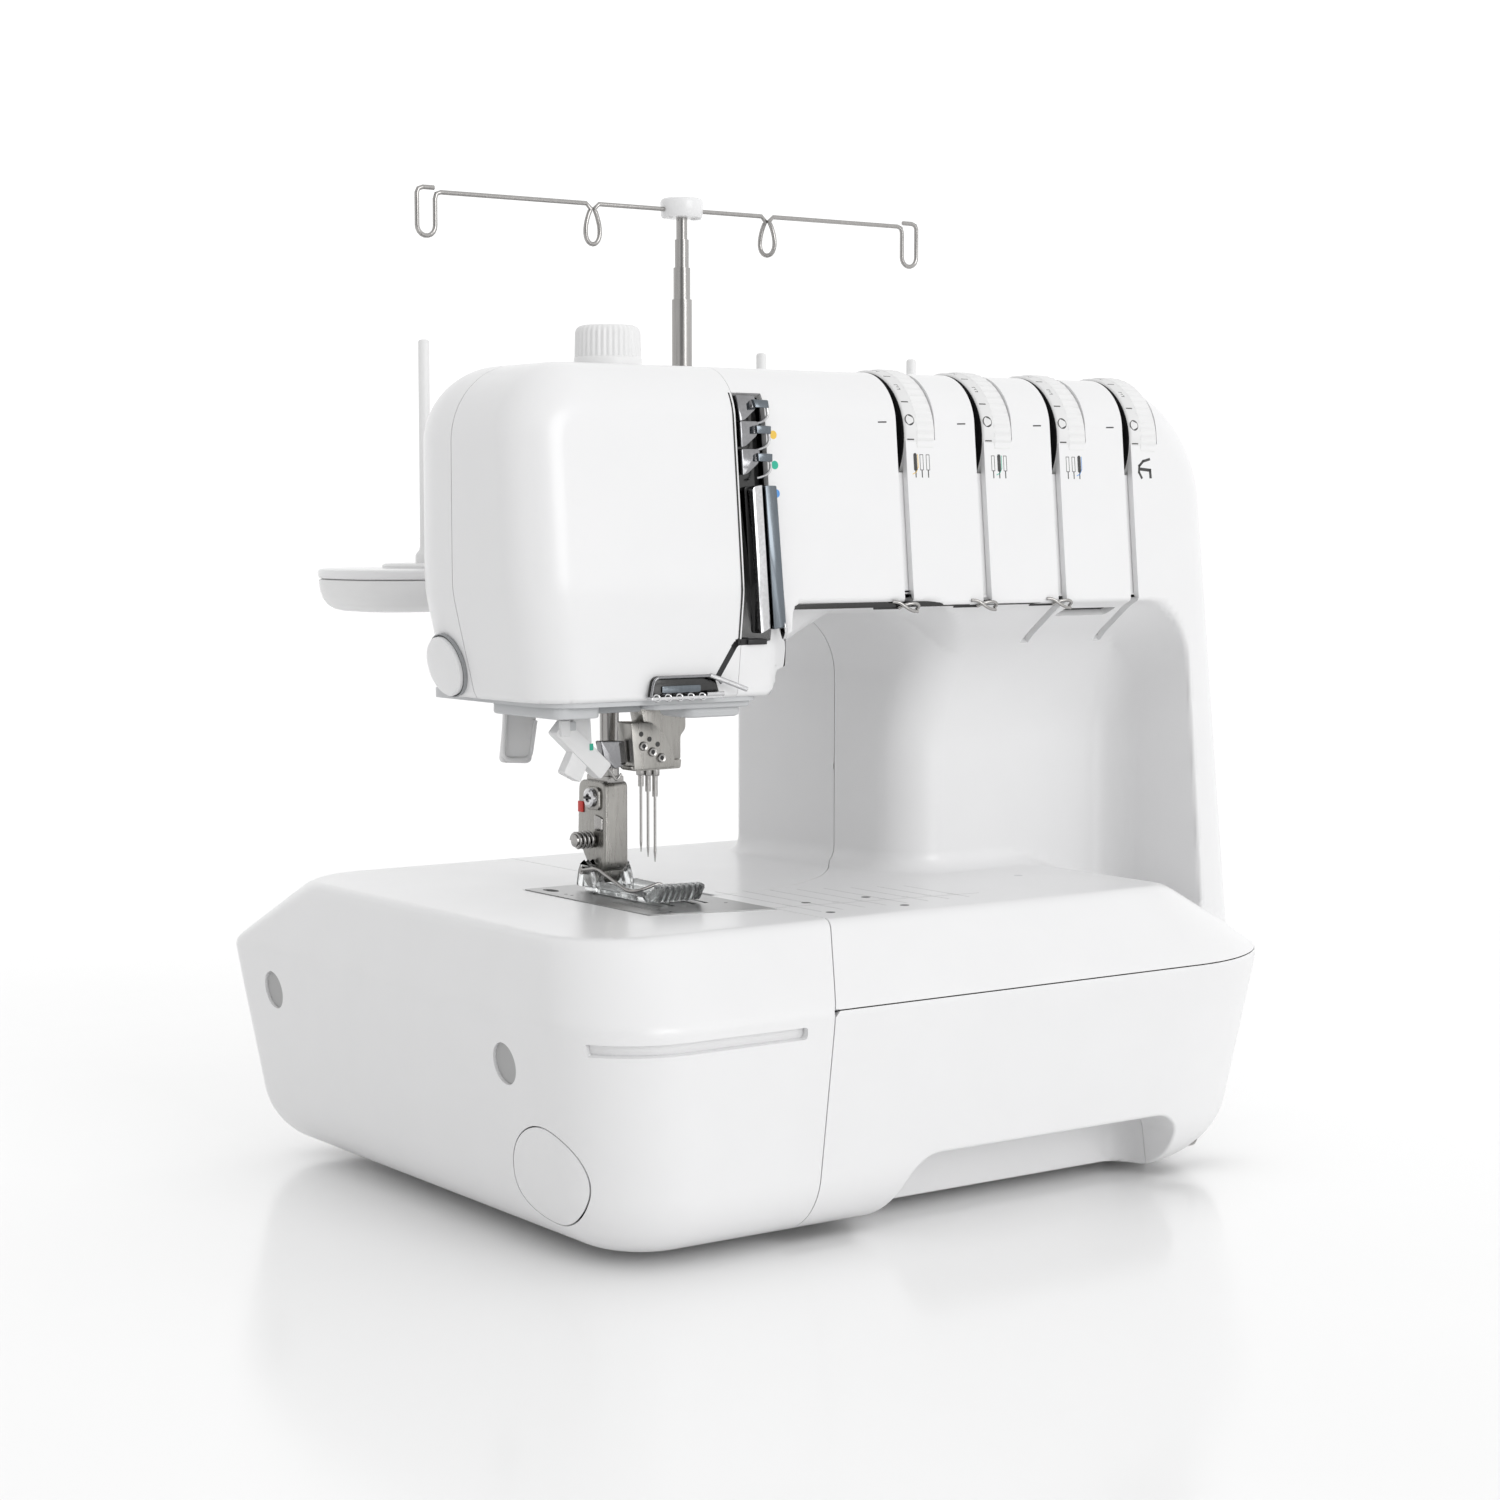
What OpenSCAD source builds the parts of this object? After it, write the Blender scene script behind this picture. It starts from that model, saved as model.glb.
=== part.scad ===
// Coverstitch serger: three needles, one looper, a free arm with a slide-on table, a telescopic thread stand.
// Millimetres, +Z up. Modules use bed coordinates: x from the bed's left edge, y from 7 mm before its front
// edge and z from the floor. place() then moves the middle of the whole footprint to the origin.

/* [Base] */
// Left end of the base at its widest line
base_left = -4; // [-8:1:-2]
// Right end of the base at its widest line
base_right = 327; // [325:1:330]
// Front of the base at its widest line
base_front = -12.5; // [-14:0.5:-11]
// Back of the base at its widest line
base_back = 262; // [260:1:265]
// Height of the widest line, where the parting seam runs
ridge_z = 84; // [80:1:88]
// Height of the sewing bed
bed_z = 111.5; // [108:0.5:114]
// Clearance between the base's underside and the floor
floor_gap = 4; // [3:0.5:6]
// Wall thickness of the plastic mouldings
wall = 2.6; // [2:0.1:3.5]
// Seam between the slide-on table and the looper door
table_seam = 89; // [88:1:90]

/* [Head and arm] */
// Height of the top of the casing
top_z = 300; // [295:1:305]
// Right side of the column
column_right = 323; // [321:1:324]
// Lower edge of the front panel under the arm
panel_z = 217; // [212:1:222]
// Lower edge of the head
head_z = 185; // [184:0.5:186]
// Seam between the head cover and the thread channel
channel_x = 93; // [90:1:96]
// Width of the thread channel
channel_w = 12; // [10:1:14]

/* [Tension dials] */
// Left edge of the first dial's thread slot
slot_x = 163.5; // [160:0.5:166]
// Distance from one dial to the next
dial_pitch = 36.7; // [34:0.1:38]
// Radius of a dial
dial_r = 25.7; // [25:0.1:26]
// Width of a thread slot
slot_w = 4; // [3:0.5:5]

/* [Needles and foot] */
// Middle needle, x
needle_x = 80; // [78:0.5:82]
// Needle line, y
needle_y = 87; // [85:0.5:89]
// Distance between needles
needle_pitch = 3; // [2.5:0.5:3]
// Presser bar axis, x
presser_x = 79.5; // [78:0.5:81]
// Presser bar axis, y
presser_y = 111.5; // [110:0.5:113]
// Radius of the needle bar and the presser bar
bar_r = 3.5; // [3:0.1:4]

/* [Drive] */
// Height of the upper shaft
upper_shaft_z = 238; // [236:1:240]
// Height of the lower shaft
lower_shaft_z = 60; // [58:1:62]
// Line of both shafts, y
shaft_y = 112; // [110:1:114]
// Radius of both shafts
shaft_r = 5; // [4:0.5:6]
// Running clearance on a radius
fit = 0.05; // [0.02:0.01:0.08]

/* [Thread stand] */
// Middle of the spool tray, x
tray_x = 188.5; // [185:0.5:192]
// Middle of the spool tray, y
tray_y = 227; // [225:1:230]
// Length of the spool tray
tray_l = 323; // [315:1:325]
// Width of the spool tray
tray_w = 62; // [58:1:64]
// Height of the thread bar
thread_bar_z = 373.5; // [365:0.5:380]
// Distance between spool pins
pin_pitch = 81; // [78:1:82]

/* [Hidden] */
$fn = 48;
far = 500;
seam = 0.4;
white = "whitesmoke";
pale = "gainsboro";
steel = "silver";
dark = "dimgray";
tray_right = tray_x + tray_l / 2;
tray_back = tray_y + tray_w / 2;
mid_x = (base_left + tray_right) / 2;
mid_y = (base_front + max(base_back, tray_back)) / 2;
lean = 5 / 54;

// ---- outlines: a list of [x, y, corner radius] points, anticlockwise ----
function unit(v) = v / norm(v);
function inward(a, b) = let (u = unit(b - a)) [-u.y, u.x];
function flat2(p) = [p.x, p.y];
function at(p, i) = p[(i + len(p)) % len(p)];
function turns_left(a, b, c) = cross(b - a, c - b) > 0;
function inset_corner(a, b, c, r, d) =
    let (m = inward(a, b), n = inward(b, c), q = b + d * (m + n) / (1 + m * n))
    [q.x, q.y, turns_left(a, b, c) ? max(r - d, 0) : r + d];
function inset(p, d) = [for (i = [0:len(p) - 1])
    inset_corner(flat2(at(p, i - 1)), flat2(p[i]), flat2(at(p, i + 1)), p[i].z, d)];
function wrap(a) = a > 180 ? a - 360 : a < -180 ? a + 360 : a;
function arc(a, b, c, r, n) =
    let (u = unit(a - b), v = unit(c - b), half = acos(u * v) / 2, p = b + u * r / tan(half),
        q = b + v * r / tan(half), m = b + unit(u + v) * r / sin(half),
        start = atan2(p.y - m.y, p.x - m.x), sweep = wrap(atan2(q.y - m.y, q.x - m.x) - start))
    [for (i = [0:n]) m + r * [cos(start + sweep * i / n), sin(start + sweep * i / n)]];
function smooth(p) = [for (i = [0:len(p) - 1])
    each p[i].z < 0.3 ? [flat2(p[i])]
        : arc(flat2(at(p, i - 1)), flat2(p[i]), flat2(at(p, i + 1)), p[i].z, p[i].z > 12 ? 7 : 3)];

module shape(p, d = 0) polygon(smooth(inset(p, d)));
module along_x(x0, x1) translate([x0, 0, 0]) rotate([90, 0, 90]) linear_extrude(x1 - x0) children();
module along_y(y0, y1) translate([0, y1, 0]) rotate([90, 0, 0]) linear_extrude(y1 - y0) children();
module along_z(z0, z1) translate([0, 0, z0]) linear_extrude(z1 - z0) children();
module block(a, b) translate(a) cube(b - a);
module rod_x(x0, x1, y, z, r) translate([x0, y, z]) rotate([0, 90, 0]) cylinder(h = x1 - x0, r = r);
module rod_y(y0, y1, x, z, r) translate([x, y1, z]) rotate([90, 0, 0]) cylinder(h = y1 - y0, r = r);
module rod_z(z0, z1, x, y, r) translate([x, y, z0]) cylinder(h = z1 - z0, r = r);
module place() translate([-mid_x, -mid_y, 0]) children();

// ---- outer forms of the casing, d inwards ----
base_plan = [[base_left, base_front, 34], [base_right, base_front, 70], [base_right, base_back, 30],
    [base_left, base_back, 14]];
bed_plan = [[1.5, 7.5, 28], [262, 7.5, 8], [262, 222, 8], [1.5, 222, 34]];
// How far the base's side is inside its widest line, at heights below it
side_levels = [[ridge_z, 0], [35, 7], [18, 12], [8, 19], [floor_gap, 26]];
skin = 0.01;

module level(z, plan, d) translate([0, 0, z - skin]) linear_extrude(skin) shape(plan, d);
module base_form(d) {
    hull() for (s = side_levels) level(max(s.x, floor_gap + d + skin), base_plan, s.y + d);
    hull() {
        level(ridge_z, base_plan, d);
        level(bed_z - d, bed_plan, d);
    }
}

column_taper = 4 / 222;
function column_side(z) = column_right - column_taper * (z - 78);
upper_ends = [[15, head_z, 3], [110, head_z, 3], [141, panel_z - 5, 10], [190, panel_z - 5, 28], [190, 78, 0],
    [column_right, 78, 0], [column_side(top_z), top_z, 46], [6, top_z, 27], [6, 222, 4]];
upper_sides = [[32, 78, 0], [193, 78, 0], [193, top_z, 30], [50 + lean * 30, top_z, 20], [45, panel_z, 0]];
upper_plan = [[6, 40, 22], [300, 40, 0], [301, 30, 0], [column_right, 30, 12], [column_right, 193, 14],
    [190, 193, 20], [190, 165, 4], [120, 165, 30], [100, 142, 20], [6, 142, 40]];
throat_plan = [[100, 0, 0], [301, 0, 0], [303, 84, 14], [198, 88, 20], [189, 200, 0], [100, 200, 0]];

module throat(d) difference() {
    union() {
        along_z(0, panel_z + d) shape(throat_plan, -d);
        along_z(0, panel_z + 1 + d) translate([110, -60]) square([186 + d, 60 + 45 + d]);
    }
    block([-10, 61 + d, head_z], [191, 300, 320]);
}
module upper_form(d) difference() {
    intersection() {
        along_y(-50, 300) shape(upper_ends, d);
        along_x(-50, 400) shape(upper_sides, d);
        along_z(70, 320) shape(upper_plan, d);
    }
    throat(d);
}
module casing_form(d) { upper_form(d); base_form(d); }
module casing_shell() difference() {
    casing_form(0);
    casing_form(wall);
    block([19, 53, 170], [105, 138, 192]);
}
// The table's right end is upright below the ridge, slopes with the bevel and is upright again in the bed
bed_start = table_seam + 12.5;
module table_side(left, right) along_y(-60, 400) polygon([[left, -10], [table_seam + right, -10],
    [table_seam + right, ridge_z], [bed_start + right, bed_z], [bed_start + right, 180], [left, 180]]);
bed_seam = [[bed_start - 13, 80, 0], [128, 82, 8], [160, 94, 10], [190, 128, 4]];
module front_region() {
    difference() {
        along_z(ridge_z + seam / 2, 180) polygon(concat([[60, -60], [400, -60], [400, 128]],
            [for (i = [3:-1:0]) flat2(bed_seam[i]) + [seam / 2, 0]], [[60, 80]]));
        table_side(0, seam / 2);
    }
    block([channel_x + seam / 2, 0, 180], [400, 128, 320]);
}
module rear_region() {
    difference() {
        along_z(ridge_z + seam / 2, 180) polygon(concat([for (p = bed_seam) flat2(p) + [seam / 2, seam]],
            [[400, 128 + seam], [400, 300], [60, 300], [60, 80 + seam]]));
        table_side(0, seam / 2);
    }
    block([0, 128 + seam, 180], [400, 300, 320]);
    block([0, 96 + seam / 2, 180], [channel_x - seam / 2, 300, 320]);
}

// ---- base ----
plate_corners = [[56, 50, 2], [100.5, 37.5, 2], [101, 133, 2], [56, 133, 2]];
door_axis = [14, 14];
door_x = [104, 262];
wheel_x = 331;
side_hole_r = 7;

module base_tray() color(white) difference() {
    union() {
        difference() {
            intersection() {
                base_form(0);
                block([table_seam + seam / 2, 15.3, 0], [400, 300, ridge_z - seam / 2]);
            }
            base_form(wall);
        }
        block([124, 28.5, floor_gap + 1], [254, 31, 40]);
    }
    rod_x(table_seam - 1, 320, door_axis.x, door_axis.y, 14);
    rod_x(300, 340, shaft_y, lower_shaft_z, side_hole_r);
    block([300, 190, 28], [340, 220, 50]);
    block([300, switch_y - 11, 56], [340, switch_y + 11, 72]);
    for (p = foot_places) rod_z(0, 10, p.x, p.y, 3.2);
}
// A card slot runs round the table's front corner, with a deeper pocket at its right end
slot_low = 75.5;
slot_high = 79.5;
module front_slot() difference() {
    block([-20, -30, slot_low], [78, 6, slot_high]);
    base_form(1.5);
}
module slide_on_table() color(white) difference() {
    intersection() {
        base_form(0);
        table_side(-60, -seam / 2);
    }
    base_form(wall);
    along_z(100, 120) shape(plate_corners, -0.6);
    block([70, 36.9, 100], [120, 133.6, 120]);
    front_slot();
    block([63, -30, slot_low], [78, 6, slot_high]);
    for (p = plug_places) rod_x(-30, 12, p.x, p.y, plug_r);
}
plug_r = 7.2;
plug_places = [[222, 68], [50.5, 66.6]];
module table_plugs() color(dark) for (p = plug_places) rod_x(-1.9, 2.5, p.x, p.y, plug_r - 0.1);
module door_shell() difference() {
    intersection() {
        base_form(0);
        block([table_seam + seam / 2, -50, 0], [400, 15, ridge_z - seam / 2]);
    }
    base_form(wall);
    along_y(-40, 30) shape([[122, -5, 0], [257, -5, 0], [253, 28, 9], [131, 28, 9]]);
}
module looper_door() color(white) difference() {
    union() {
        door_shell();
        intersection() {
            for (x = door_x) {
                rod_x(x, x + 10, door_axis.x, door_axis.y, 4.5);
                block([x, -4, door_axis.y - 4.5], [x + 10, door_axis.x, door_axis.y + 4.5]);
            }
            base_form(0.5);
        }
    }
    for (x = door_x, s = [-6.4, 10.2]) block([x + s, 4, 0], [x + s + 6.2, 30, 15.4]);
    for (x = door_x) rod_x(x - 1, x + 11, door_axis.x, door_axis.y, 2.25);
}
floor_z = floor_gap + wall;
foot_places = [[118, 48], [276, 48], [118, 214], [282, 214]];
module rubber_feet() color(dark) {
    for (p = foot_places) {
        rod_z(0, floor_gap, p.x, p.y, 8);
        rod_z(floor_gap, floor_z, p.x, p.y, 3);
    }
}

// ---- casing ----
module dial_place(i) translate([slot_x + slot_w + dial_pitch * i, 75.5, 276]) children();
module dial_windows() for (i = [0:3]) dial_place(i) {
    block([-0.6, -60, -5], [13.9, 24, 60]);
    rod_x(-0.6, 13.9, 0, 0, dial_r + 0.4);
    block([-slot_w, -60, panel_z - 280], [0, -18, 60]);
    block([-slot_w, -20, 10], [0, 18, 60]);
}
module front_cover() color(white) difference() {
    intersection() { casing_shell(); front_region(); }
    dial_windows();
    block([channel_x - 1, 30, 195], [channel_x + channel_w + seam, 62, 292]);
    along_z(100, 120) shape(plate_corners, -0.6);
    guide_notch();
}
module rear_cover() color(white) difference() {
    intersection() { casing_shell(); rear_region(); }
    along_z(100, 120) shape(plate_corners, -0.6);
    rod_z(290, 320, presser_x, presser_y, 5);
    for (p = side_dial_places) rod_x(310, 335, p.x, p.y, 3.5);
    for (p = screw_places) rod_y(185, 200, p.x, p.y, 2.2);
    rod_x(0, 16, 109, 197, 3);
    block([42.5, 128, 170], [59.5, 150, 190]);
}
module head_cover() color(white) difference() {
    intersection() {
        casing_shell();
        block([0, 0, 180], [channel_x - seam / 2, 96 - seam / 2, 320]);
    }
    guide_notch();
}
module head_side_cap() color(pale) {
    translate([10.6, 109, 197]) rotate([0, -99, 0]) cylinder(h = 2.4, r = 12);
    rod_x(9, 16, 109, 197, 2.8);
}
module head_underplate() color(pale) difference() {
    union() {
        block([19.5, 53.5, 181], [104.5, 137.5, 187]);
        block([22, 56, 179], [40, 100, 181.5]);
    }
    rod_z(170, 190, presser_x, presser_y, 8.2);
    block([72, 79, 170], [98, 96, 190]);
    block([45, 82, 170], [59, 95, 190]);
    block([42.5, 118, 170], [59.5, 150, 190]);
}
plate_lip = [[58, 51, 1], [98, 40, 1], [98, 131, 1], [58, 131, 1]];
plate_hole = [[64, 62, 1], [95, 62, 1], [95, 112, 1], [64, 112, 1]];
module free_arm() color(pale) difference() {
    union() {
        block([34, 36, 40], [106, 150, 108.2]);
        along_z(108, bed_z - 1.3) shape(plate_lip);
    }
    block([36.4, 38.4, 42.4], [110, 147.6, 105.8]);
    along_z(100, 120) shape(plate_hole);
}
feed_slots = [70, 75, 84, 89];
module needle_plate() color(steel) difference() {
    along_z(bed_z - 1.3, bed_z + 0.3) shape(plate_corners);
    for (x = feed_slots) {
        block([x - 1.3, 63.5, 100], [x + 1.3, 82.5, 120]);
        block([x - 1.3, 90.5, 100], [x + 1.3, 109.5, 120]);
    }
    block([needle_x - 5, needle_y - 1.6, 100], [needle_x + 5, needle_y + 1.6, 120]);
}

// ---- chassis: base casting, upright, arm beam and the blocks that carry the bars and shafts ----
module shaft_pedestal(x) block([x, 100, 17], [x + 8, 124, lower_shaft_z + 9]);
module arm_pillar(x) block([x, 100, upper_shaft_z - 9], [x + 8, 130, 264]);
module chassis() color(steel) difference() {
    union() {
        block([106, 44, floor_z], [285, 222, 18]);
        block([106, 40, floor_z], [109, 150, 106]);
        block([215, 128, 15], [284, 150, 282]);
        block([30, 122, 262], [290, 136, 282]);
        block([66, 80, 256], [104, 136, 268]);
        for (x = [152, 292]) block([x, 70, 270], [x + 6, 136, 282]);
        block([60, 122, 190], [72, 135, 203]);
        block([46, 82, 192], [66.5, 94, 200]);
        block([66, 80, 190], [104, 120, 200]);
        block([66, 116, 190], [72, 128, 275]);
        block([98, 116, 190], [104, 128, 275]);
        block([66, 116, 190], [104, 120, 200]);
        shaft_pedestal(130);
        shaft_pedestal(272);
        arm_pillar(112);
        arm_pillar(280);
        block([78, 116, 46], [132, 130, 70]);
        block([106, 116, 17], [132, 130, 60]);
    }
    block([49.6, 85.6, 190], [54.4, 90.4, 202]);
    for (z = [180, 250]) {
        rod_z(z, z + 30, 89, 88, bar_r + 2.5);
        rod_z(z, z + 30, presser_x, presser_y, bar_r + 2.5);
    }
    rod_x(100, 300, shaft_y, lower_shaft_z, shaft_r + fit);
    rod_x(100, 300, shaft_y, upper_shaft_z, shaft_r + fit);
    rod_y(100, 140, looper_axis.x, looper_axis.y, 4 + fit);
    rod_x(59, 73, lifter_axis.x, lifter_axis.y, 2);
    rod_x(150, 300, 75.5, 276, 3);
}
screw_places = [[214, 272], [300, 268], [214, 130], [306, 130]];
module cover_screws() color(steel) for (p = screw_places) {
    rod_y(184, 193.5, p.x, p.y, 2);
    rod_y(193.2, 195, p.x, p.y, 3.6);
}
module bearing_pair(x, y, low, high) for (z = [low, high]) difference() {
    rod_z(z, z + 10, x, y, bar_r + 2.5);
    rod_z(z - 1, z + 11, x, y, bar_r + fit);
}
module bar_bushes() color("goldenrod") {
    bearing_pair(89, 88, 190, 257);
    bearing_pair(presser_x, presser_y, 190, 257);
    difference() {
        rod_z(177.5, 190, presser_x, presser_y, 8);
        rod_z(177, 191, presser_x, presser_y, bar_r + fit);
    }
}

// ---- hinge pins of the looper door and of the lifter lever ----
lifter_axis = [129, 197];
module hinge_pins() color(steel) {
    for (x = door_x) rod_x(x - 6, x + 16, door_axis.x, door_axis.y, 2);
    rod_x(42, 70, lifter_axis.x, lifter_axis.y, 2);
    for (x = door_x, s = [-5.6, 10.6]) difference() {
        union() {
            rod_x(x + s, x + s + 5, door_axis.x, door_axis.y, 4.5);
            block([x + s, door_axis.x, 9.5], [x + s + 5, 36, 15]);
            block([x + s, 28.5, 6.6], [x + s + 5, 36, 10]);
        }
        rod_x(x - 7, x + 17, door_axis.x, door_axis.y, 2);
    }
}

// ---- thread path ----
module channel_block(x0, x1, y0, y1, z0, z1) translate([0, 45 + lean * (z0 - panel_z), z0])
    rotate([-atan(lean), 0, 0]) block([x0, y0, 0], [x1, y1, (z1 - z0) / cos(atan(lean))]);
module thread_channel() color(steel) {
    channel_block(channel_x + seam / 2, channel_x + channel_w, 2.5, 4, 196, 291);
    for (x = [channel_x + 4.6, channel_x + 9]) channel_block(x, x + 1, -2.5, 3, 204, 257);
    for (z = [261, 270, 279]) {
        channel_block(channel_x + 4, channel_x + 5, -2, 3, z, z + 6.5);
        channel_block(channel_x + 4.5, channel_x + 12.6, -2.6, -1.6, z + 3.6, z + 6.5);
    }
    channel_block(channel_x + 11, channel_x + 12, -2, 3, 203, 232);
}
module arm_thread_guides() color(steel) for (i = [0:2]) {
    translate([slot_x + dial_pitch * i, 0, 0]) block([-5, 42.5, panel_z - 3], [5, 50, panel_z]);
}
// the cut in the covers that the lower thread guide stands in
module guide_notch() {
    block([55.7, 30, 180], [94, 48.8, 192.9]);
    block([92, 30, 186.6], [97.4, 46.2, 189.9]);
}
module lower_thread_guide() color(steel) difference() {
    union() {
        block([56, 46.4, 185], [86, 48.4, 192.5]);
        block([84, 44.2, 187], [97, 45.7, 189.5]);
        block([84, 44.2, 187], [86, 48.4, 189.5]);
        block([56, 44.4, 191], [86, 48.4, 192.5]);
    }
    for (i = [0:4]) rod_y(40, 60, 59 + 5 * i, 187.2, 1);
}
module tension_axle() color(steel) rod_x(150, 300, 75.5, 276, 3);
module tension_discs() color(steel) for (i = [0:3]) dial_place(i) difference() {
    union() {
        rod_x(-3.4, -2.6, 0, 0, 15);
        rod_x(-1.8, -1, 0, 0, 15);
    }
    rod_x(-5, 1, 0, 0, 3);
}
module star(r, depth, count) polygon([for (i = [0:2 * count - 1])
    (r - (i % 2) * depth) * [cos(180 * i / count), sin(180 * i / count)]]);
module tension_dial(i) color(white) dial_place(i) difference() {
    union() {
        rod_x(0, 5, 0, 0, dial_r - 0.5);
        along_x(4.8, 13.3) star(dial_r, 0.6, 50);
    }
    rod_x(-1, 14, 0, 0, 3 + fit);
}
module tension_dial_1() tension_dial(0);
module tension_dial_2() tension_dial(1);
module tension_dial_3() tension_dial(2);
module tension_dial_4() tension_dial(3);

// ---- presser bar, foot and lifter ----
module pressure_knob() color(white) translate([presser_x, presser_y, 0]) difference() {
    union() {
        rod_z(top_z + 0.5, 307, 0, 0, 11);
        along_z(306.9, 315) star(11.6, 0.7, 36);
        rod_z(314.9, 316, 0, 0, 10.6);
        rod_z(291, top_z + 0.6, 0, 0, 4.8);
    }
    rod_z(285, 309, 0, 0, bar_r + fit);
}
module presser_spring() color(steel) translate([presser_x, presser_y, 0]) difference() {
    rod_z(277.2, 290.8, 0, 0, 5.2);
    rod_z(277, 291, 0, 0, 4.2);
}
module presser_bar() color(steel) {
    rod_z(140, 300, presser_x, presser_y, bar_r);
    difference() {
        rod_z(272, 277, presser_x, presser_y, 6.5);
        rod_z(271, 278, presser_x, presser_y, bar_r);
    }
}
shank_low = [74.5, 107, 121];
shank_high = [84.5, 119.5, 151];
ankle = [115, 119.5];
module foot_shank() color(steel) difference() {
    union() {
        block(shank_low, shank_high);
        rod_x(shank_low.x, shank_high.x, ankle.x, ankle.y, 4);
    }
    rod_z(139, 152, presser_x, presser_y, bar_r);
    rod_x(70, 90, ankle.x, ankle.y, 1.5 + fit);
    rod_x(70, 76, 113, 146, 1.6);
    rod_x(70, 76, 113, 130, 1.6);
}
module shank_screws() color(steel) {
    rod_x(72, 76, 113, 146, 1.6);
    rod_x(71.8, shank_low.x, 113, 146, 3.2);
    rod_x(67.5, 76, 113, 130, 1.6);
    rod_x(66.5, shank_low.x, 113, 130, 3.4);
}
foot_z = 112.1;
module presser_foot() color("lightcyan") difference() {
    union() {
        along_x(70.5, 88.5) polygon([[67, foot_z + 2.6], [64, foot_z + 5.5], [62.8, foot_z + 4.8],
            [66.5, foot_z], [112, foot_z], [123.5, foot_z + 1.5], [123.5, foot_z + 2.8], [108, foot_z + 2.4]]);
        for (x = [70.5, 85]) block([x, 110.5, foot_z + 2], [x + 3.5, 119, 123]);
    }
    rod_x(60, 95, ankle.x, ankle.y, 1.5);
    block([needle_x - 5, needle_y - 1.8, 100], [needle_x + 5, needle_y + 1.8, 130]);
}
module foot_wire_guide() color(steel) {
    rod_x(69, 90, ankle.x, ankle.y, 1.5);
    block([69, 90, foot_z + 4.2], [70.2, 116, foot_z + 6]);
    block([69, 75, foot_z + 4.2], [70.2, 91, foot_z + 5.4]);
    block([69, 75, foot_z + 4.2], [78, 76.2, foot_z + 5.4]);
}
module lifter_lever() color(pale) difference() {
    union() {
        block([44, 126.5, 158], [58, 129.5, 200]);
        rod_x(44, 58, lifter_axis.x, lifter_axis.y, 5);
    }
    rod_x(43, 59, lifter_axis.x, lifter_axis.y, 2 + fit);
}

// ---- needle bar, clamp, needles, threader ----
clamp_low = [69.5, 82.5, 158];
clamp_high = [88.5, 92, 172];
module needle_bar() color(steel) rod_z(170, 292, 89, 88, bar_r);
module needle_clamp() color(steel) difference() {
    union() {
        block(clamp_low, clamp_high);
        block([82, 83.5, 160], [95, 92.5, 184]);
    }
    rod_z(170, 190, 89, 88, bar_r);
    for (i = [-1:1]) {
        rod_z(157, 169, needle_x + i * needle_pitch, needle_y, 1);
        rod_y(80, 86, 75 + 3 * (i + 1), 168.5 - 2.2 * (i + 1), 1.2);
        rod_y(80, 86, 75.5 + 3.2 * (i + 1), 164.5 - 2 * (i + 1), 1.2);
    }
}
module needle_screws() color(dark) for (i = [-1:1]) {
    rod_y(81.9, 86, 75 + 3 * (i + 1), 168.5 - 2.2 * (i + 1), 1.2);
    rod_y(81.9, 86, 75.5 + 3.2 * (i + 1), 164.5 - 2 * (i + 1), 1.2);
}
module needles() color(steel) for (i = [-1:1]) translate([needle_x + i * needle_pitch, needle_y, -i * 2]) {
    rod_z(150, 169 + 2 * i, 0, 0, 1);
    rod_z(130, 150.5, 0, 0, 0.5);
    translate([0, 0, 126.5]) cylinder(h = 3.6, r1 = 0.15, r2 = 0.5);
}
module needle_threader() color(white) {
    block([50, 86, 168], [54, 90, 222]);
    for (a = [-1, 1]) translate([52, 85, 166]) rotate([0, a * 38, 0]) block([-3.5, -1.5, -11], [3.5, 1.5, 11]);
}

// ---- drive ----
module upper_shaft() color(steel) {
    rod_x(106, 312, shaft_y, upper_shaft_z, shaft_r);
    rod_x(106, 111.5, shaft_y, upper_shaft_z, 16);
    rod_x(298, 311, shaft_y, upper_shaft_z, 14);
}
module lower_shaft() color(steel) {
    rod_x(124, 340, shaft_y, lower_shaft_z, shaft_r);
    rod_x(298, 311, shaft_y, lower_shaft_z, 14);
    rod_x(286, 294, shaft_y, lower_shaft_z, 24);
}
module handwheel() color(white) difference() {
    union() {
        along_x(wheel_x + 3, wheel_x + 14) translate([shaft_y, lower_shaft_z]) star(31, 0.9, 40);
        rod_x(wheel_x, wheel_x + 3.5, shaft_y, lower_shaft_z, 29.5);
        rod_x(wheel_x + 13.9, wheel_x + 15.5, shaft_y, lower_shaft_z, 26);
    }
    rod_x(wheel_x - 1, 340, shaft_y, lower_shaft_z, shaft_r);
}
// Flat belt round two pulleys, in the plane of their centres a and b
function tangent_side(a, b, ra, rb, s) =
    let (u = unit(b - a), k = (ra - rb) / norm(b - a), n = [-u.y, u.x], w = k * u + s * sqrt(1 - k * k) * n)
    [a + ra * w, b + rb * w];
module belt_band(a, b, ra, rb) {
    translate(a) circle(ra);
    translate(b) circle(rb);
    polygon(concat(tangent_side(a, b, ra, rb, 1), [for (i = [1, 0]) tangent_side(a, b, ra, rb, -1)[i]]));
}
module belt(a, b, ra, rb, t) difference() {
    belt_band(a, b, ra + t, rb + t);
    belt_band(a, b, ra, rb);
}
motor_axis = [186, 52];
module timing_belt() color(dark) along_x(300, 309)
    belt([shaft_y, lower_shaft_z], [shaft_y, upper_shaft_z], 14.3, 14.3, 1.6);
module drive_belt() color(dark) along_x(287.5, 292.5) belt(motor_axis, [shaft_y, lower_shaft_z], 8.3, 24.3, 1.5);
module motor() color(dark) {
    rod_x(215, 278, motor_axis.x, motor_axis.y, 28);
    block([225, motor_axis.x - 20, 18], [270, motor_axis.x + 20, 40]);
}
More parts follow.
